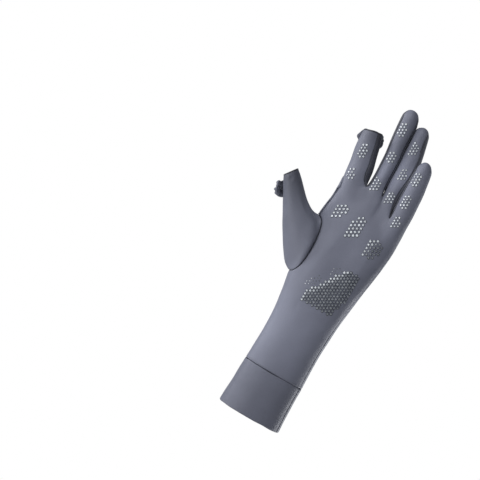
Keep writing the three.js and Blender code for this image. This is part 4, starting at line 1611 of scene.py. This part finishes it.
bm = bmesh.new()
for k in range(STITCHES):
    angle = -180 + 360 * (k + 0.5) / STITCHES
    ahead, rise, normal = cuff_axes(angle, STITCH_HEIGHT)
    seat = hand_tree.find_nearest(sleeve_point(STITCH_HEIGHT, angle))[0]
    made = bmesh.ops.create_uvsphere(bm, u_segments=6, v_segments=4, radius=1)["verts"]
    basis = Matrix((ahead, rise, normal)).transposed().to_4x4()
    place = Matrix.Translation(seat + normal * STITCH_LIFT)
    bmesh.ops.transform(bm, verts=made, matrix=place @ basis @ Matrix.Diagonal(STITCH_SIZE))
finish_piece("cuff_stitches", mesh_of(bm, "cuff_stitches"), THREAD, "cuff_band")

# Stage, light and camera.

FLOOR_RADIUS = 0.8
FLOOR_HEIGHT = -0.35
WORLD_LIGHT = 0.12
LIGHT_SIZE = 0.8
AIM = Vector((-0.02, 0.0, 0.15))
# The lights: name, place, power in watts and colour.
LIGHTS = [
    ("key", (-1.656, 0.148, 0.588), 17, (1, 1, 1)),
    ("top", (-0.671, -1.093, 1.278), 13.3, (1, 1, 1)),
    ("low", (-1.148, -1.093, -0.501), 12.8, (1, 1, 1)),
    ("back", (1.4, 0.8, -0.42), 25, (0.97, 0.98, 1.0)),
]
FOCAL_LENGTH = 108.3
SENSOR_WIDTH = 36

scene = bpy.context.scene
scene.view_settings.view_transform = "Standard"

bm = bmesh.new()
bmesh.ops.create_circle(bm, cap_ends=True, segments=96, radius=FLOOR_RADIUS)
floor_mesh = mesh_of(bm, "floor")
floor = bpy.data.objects.new("floor", floor_mesh)
floor.location = (0, 0, FLOOR_HEIGHT)
COLLECTION.objects.link(floor)
floor_mesh.materials.append(plain_material("floor_white", (0.86, 0.86, 0.86), 0.8, 0.01, 20))

# The camera sees a white world, which lights the glove only a little.
world = bpy.data.worlds.new("studio")
scene.world = world
world.use_nodes = True
tree = world.node_tree
tree.nodes.clear()
rays = add_node(tree, "LightPath").outputs["Is Camera Ray"]
lighting = add_node(tree, "Background", {"Color": (0.93, 0.96, 1, 1), "Strength": WORLD_LIGHT})
seen = add_node(tree, "Background", {"Color": (1, 1, 1, 1), "Strength": 1.0})
both = add_node(tree, "MixShader", {0: rays, 1: lighting.outputs[0], 2: seen.outputs[0]})
add_node(tree, "OutputWorld", {0: both.outputs[0]})

for name, place, power_w, colour in LIGHTS:
    lamp = bpy.data.lights.new(name, "AREA")
    lamp.shape = "SQUARE"
    lamp.size = LIGHT_SIZE
    lamp.energy = power_w
    lamp.color = colour
    light = bpy.data.objects.new(name, lamp)
    COLLECTION.objects.link(light)
    light.visible_camera = False
    light.location = place
    light.rotation_mode = "QUATERNION"
    light.rotation_quaternion = (AIM - Vector(place)).to_track_quat("-Z", "Y")

# The camera looks straight ahead and is rolled by 30 degrees.
lens = bpy.data.cameras.new("camera")
lens.lens = FOCAL_LENGTH
lens.sensor_width = SENSOR_WIDTH
lens.clip_start, lens.clip_end = 0.05, 20
camera = bpy.data.objects.new("camera", lens)
COLLECTION.objects.link(camera)
half_root_3 = math.sqrt(3) / 2
camera.matrix_world = Matrix((
    (half_root_3, -0.5, 0, VIEW_FROM.x * MM),
    (0, 0, -1, VIEW_FROM.y * MM),
    (0.5, half_root_3, 0, VIEW_FROM.z * MM),
    (0, 0, 0, 1),
))
scene.camera = camera
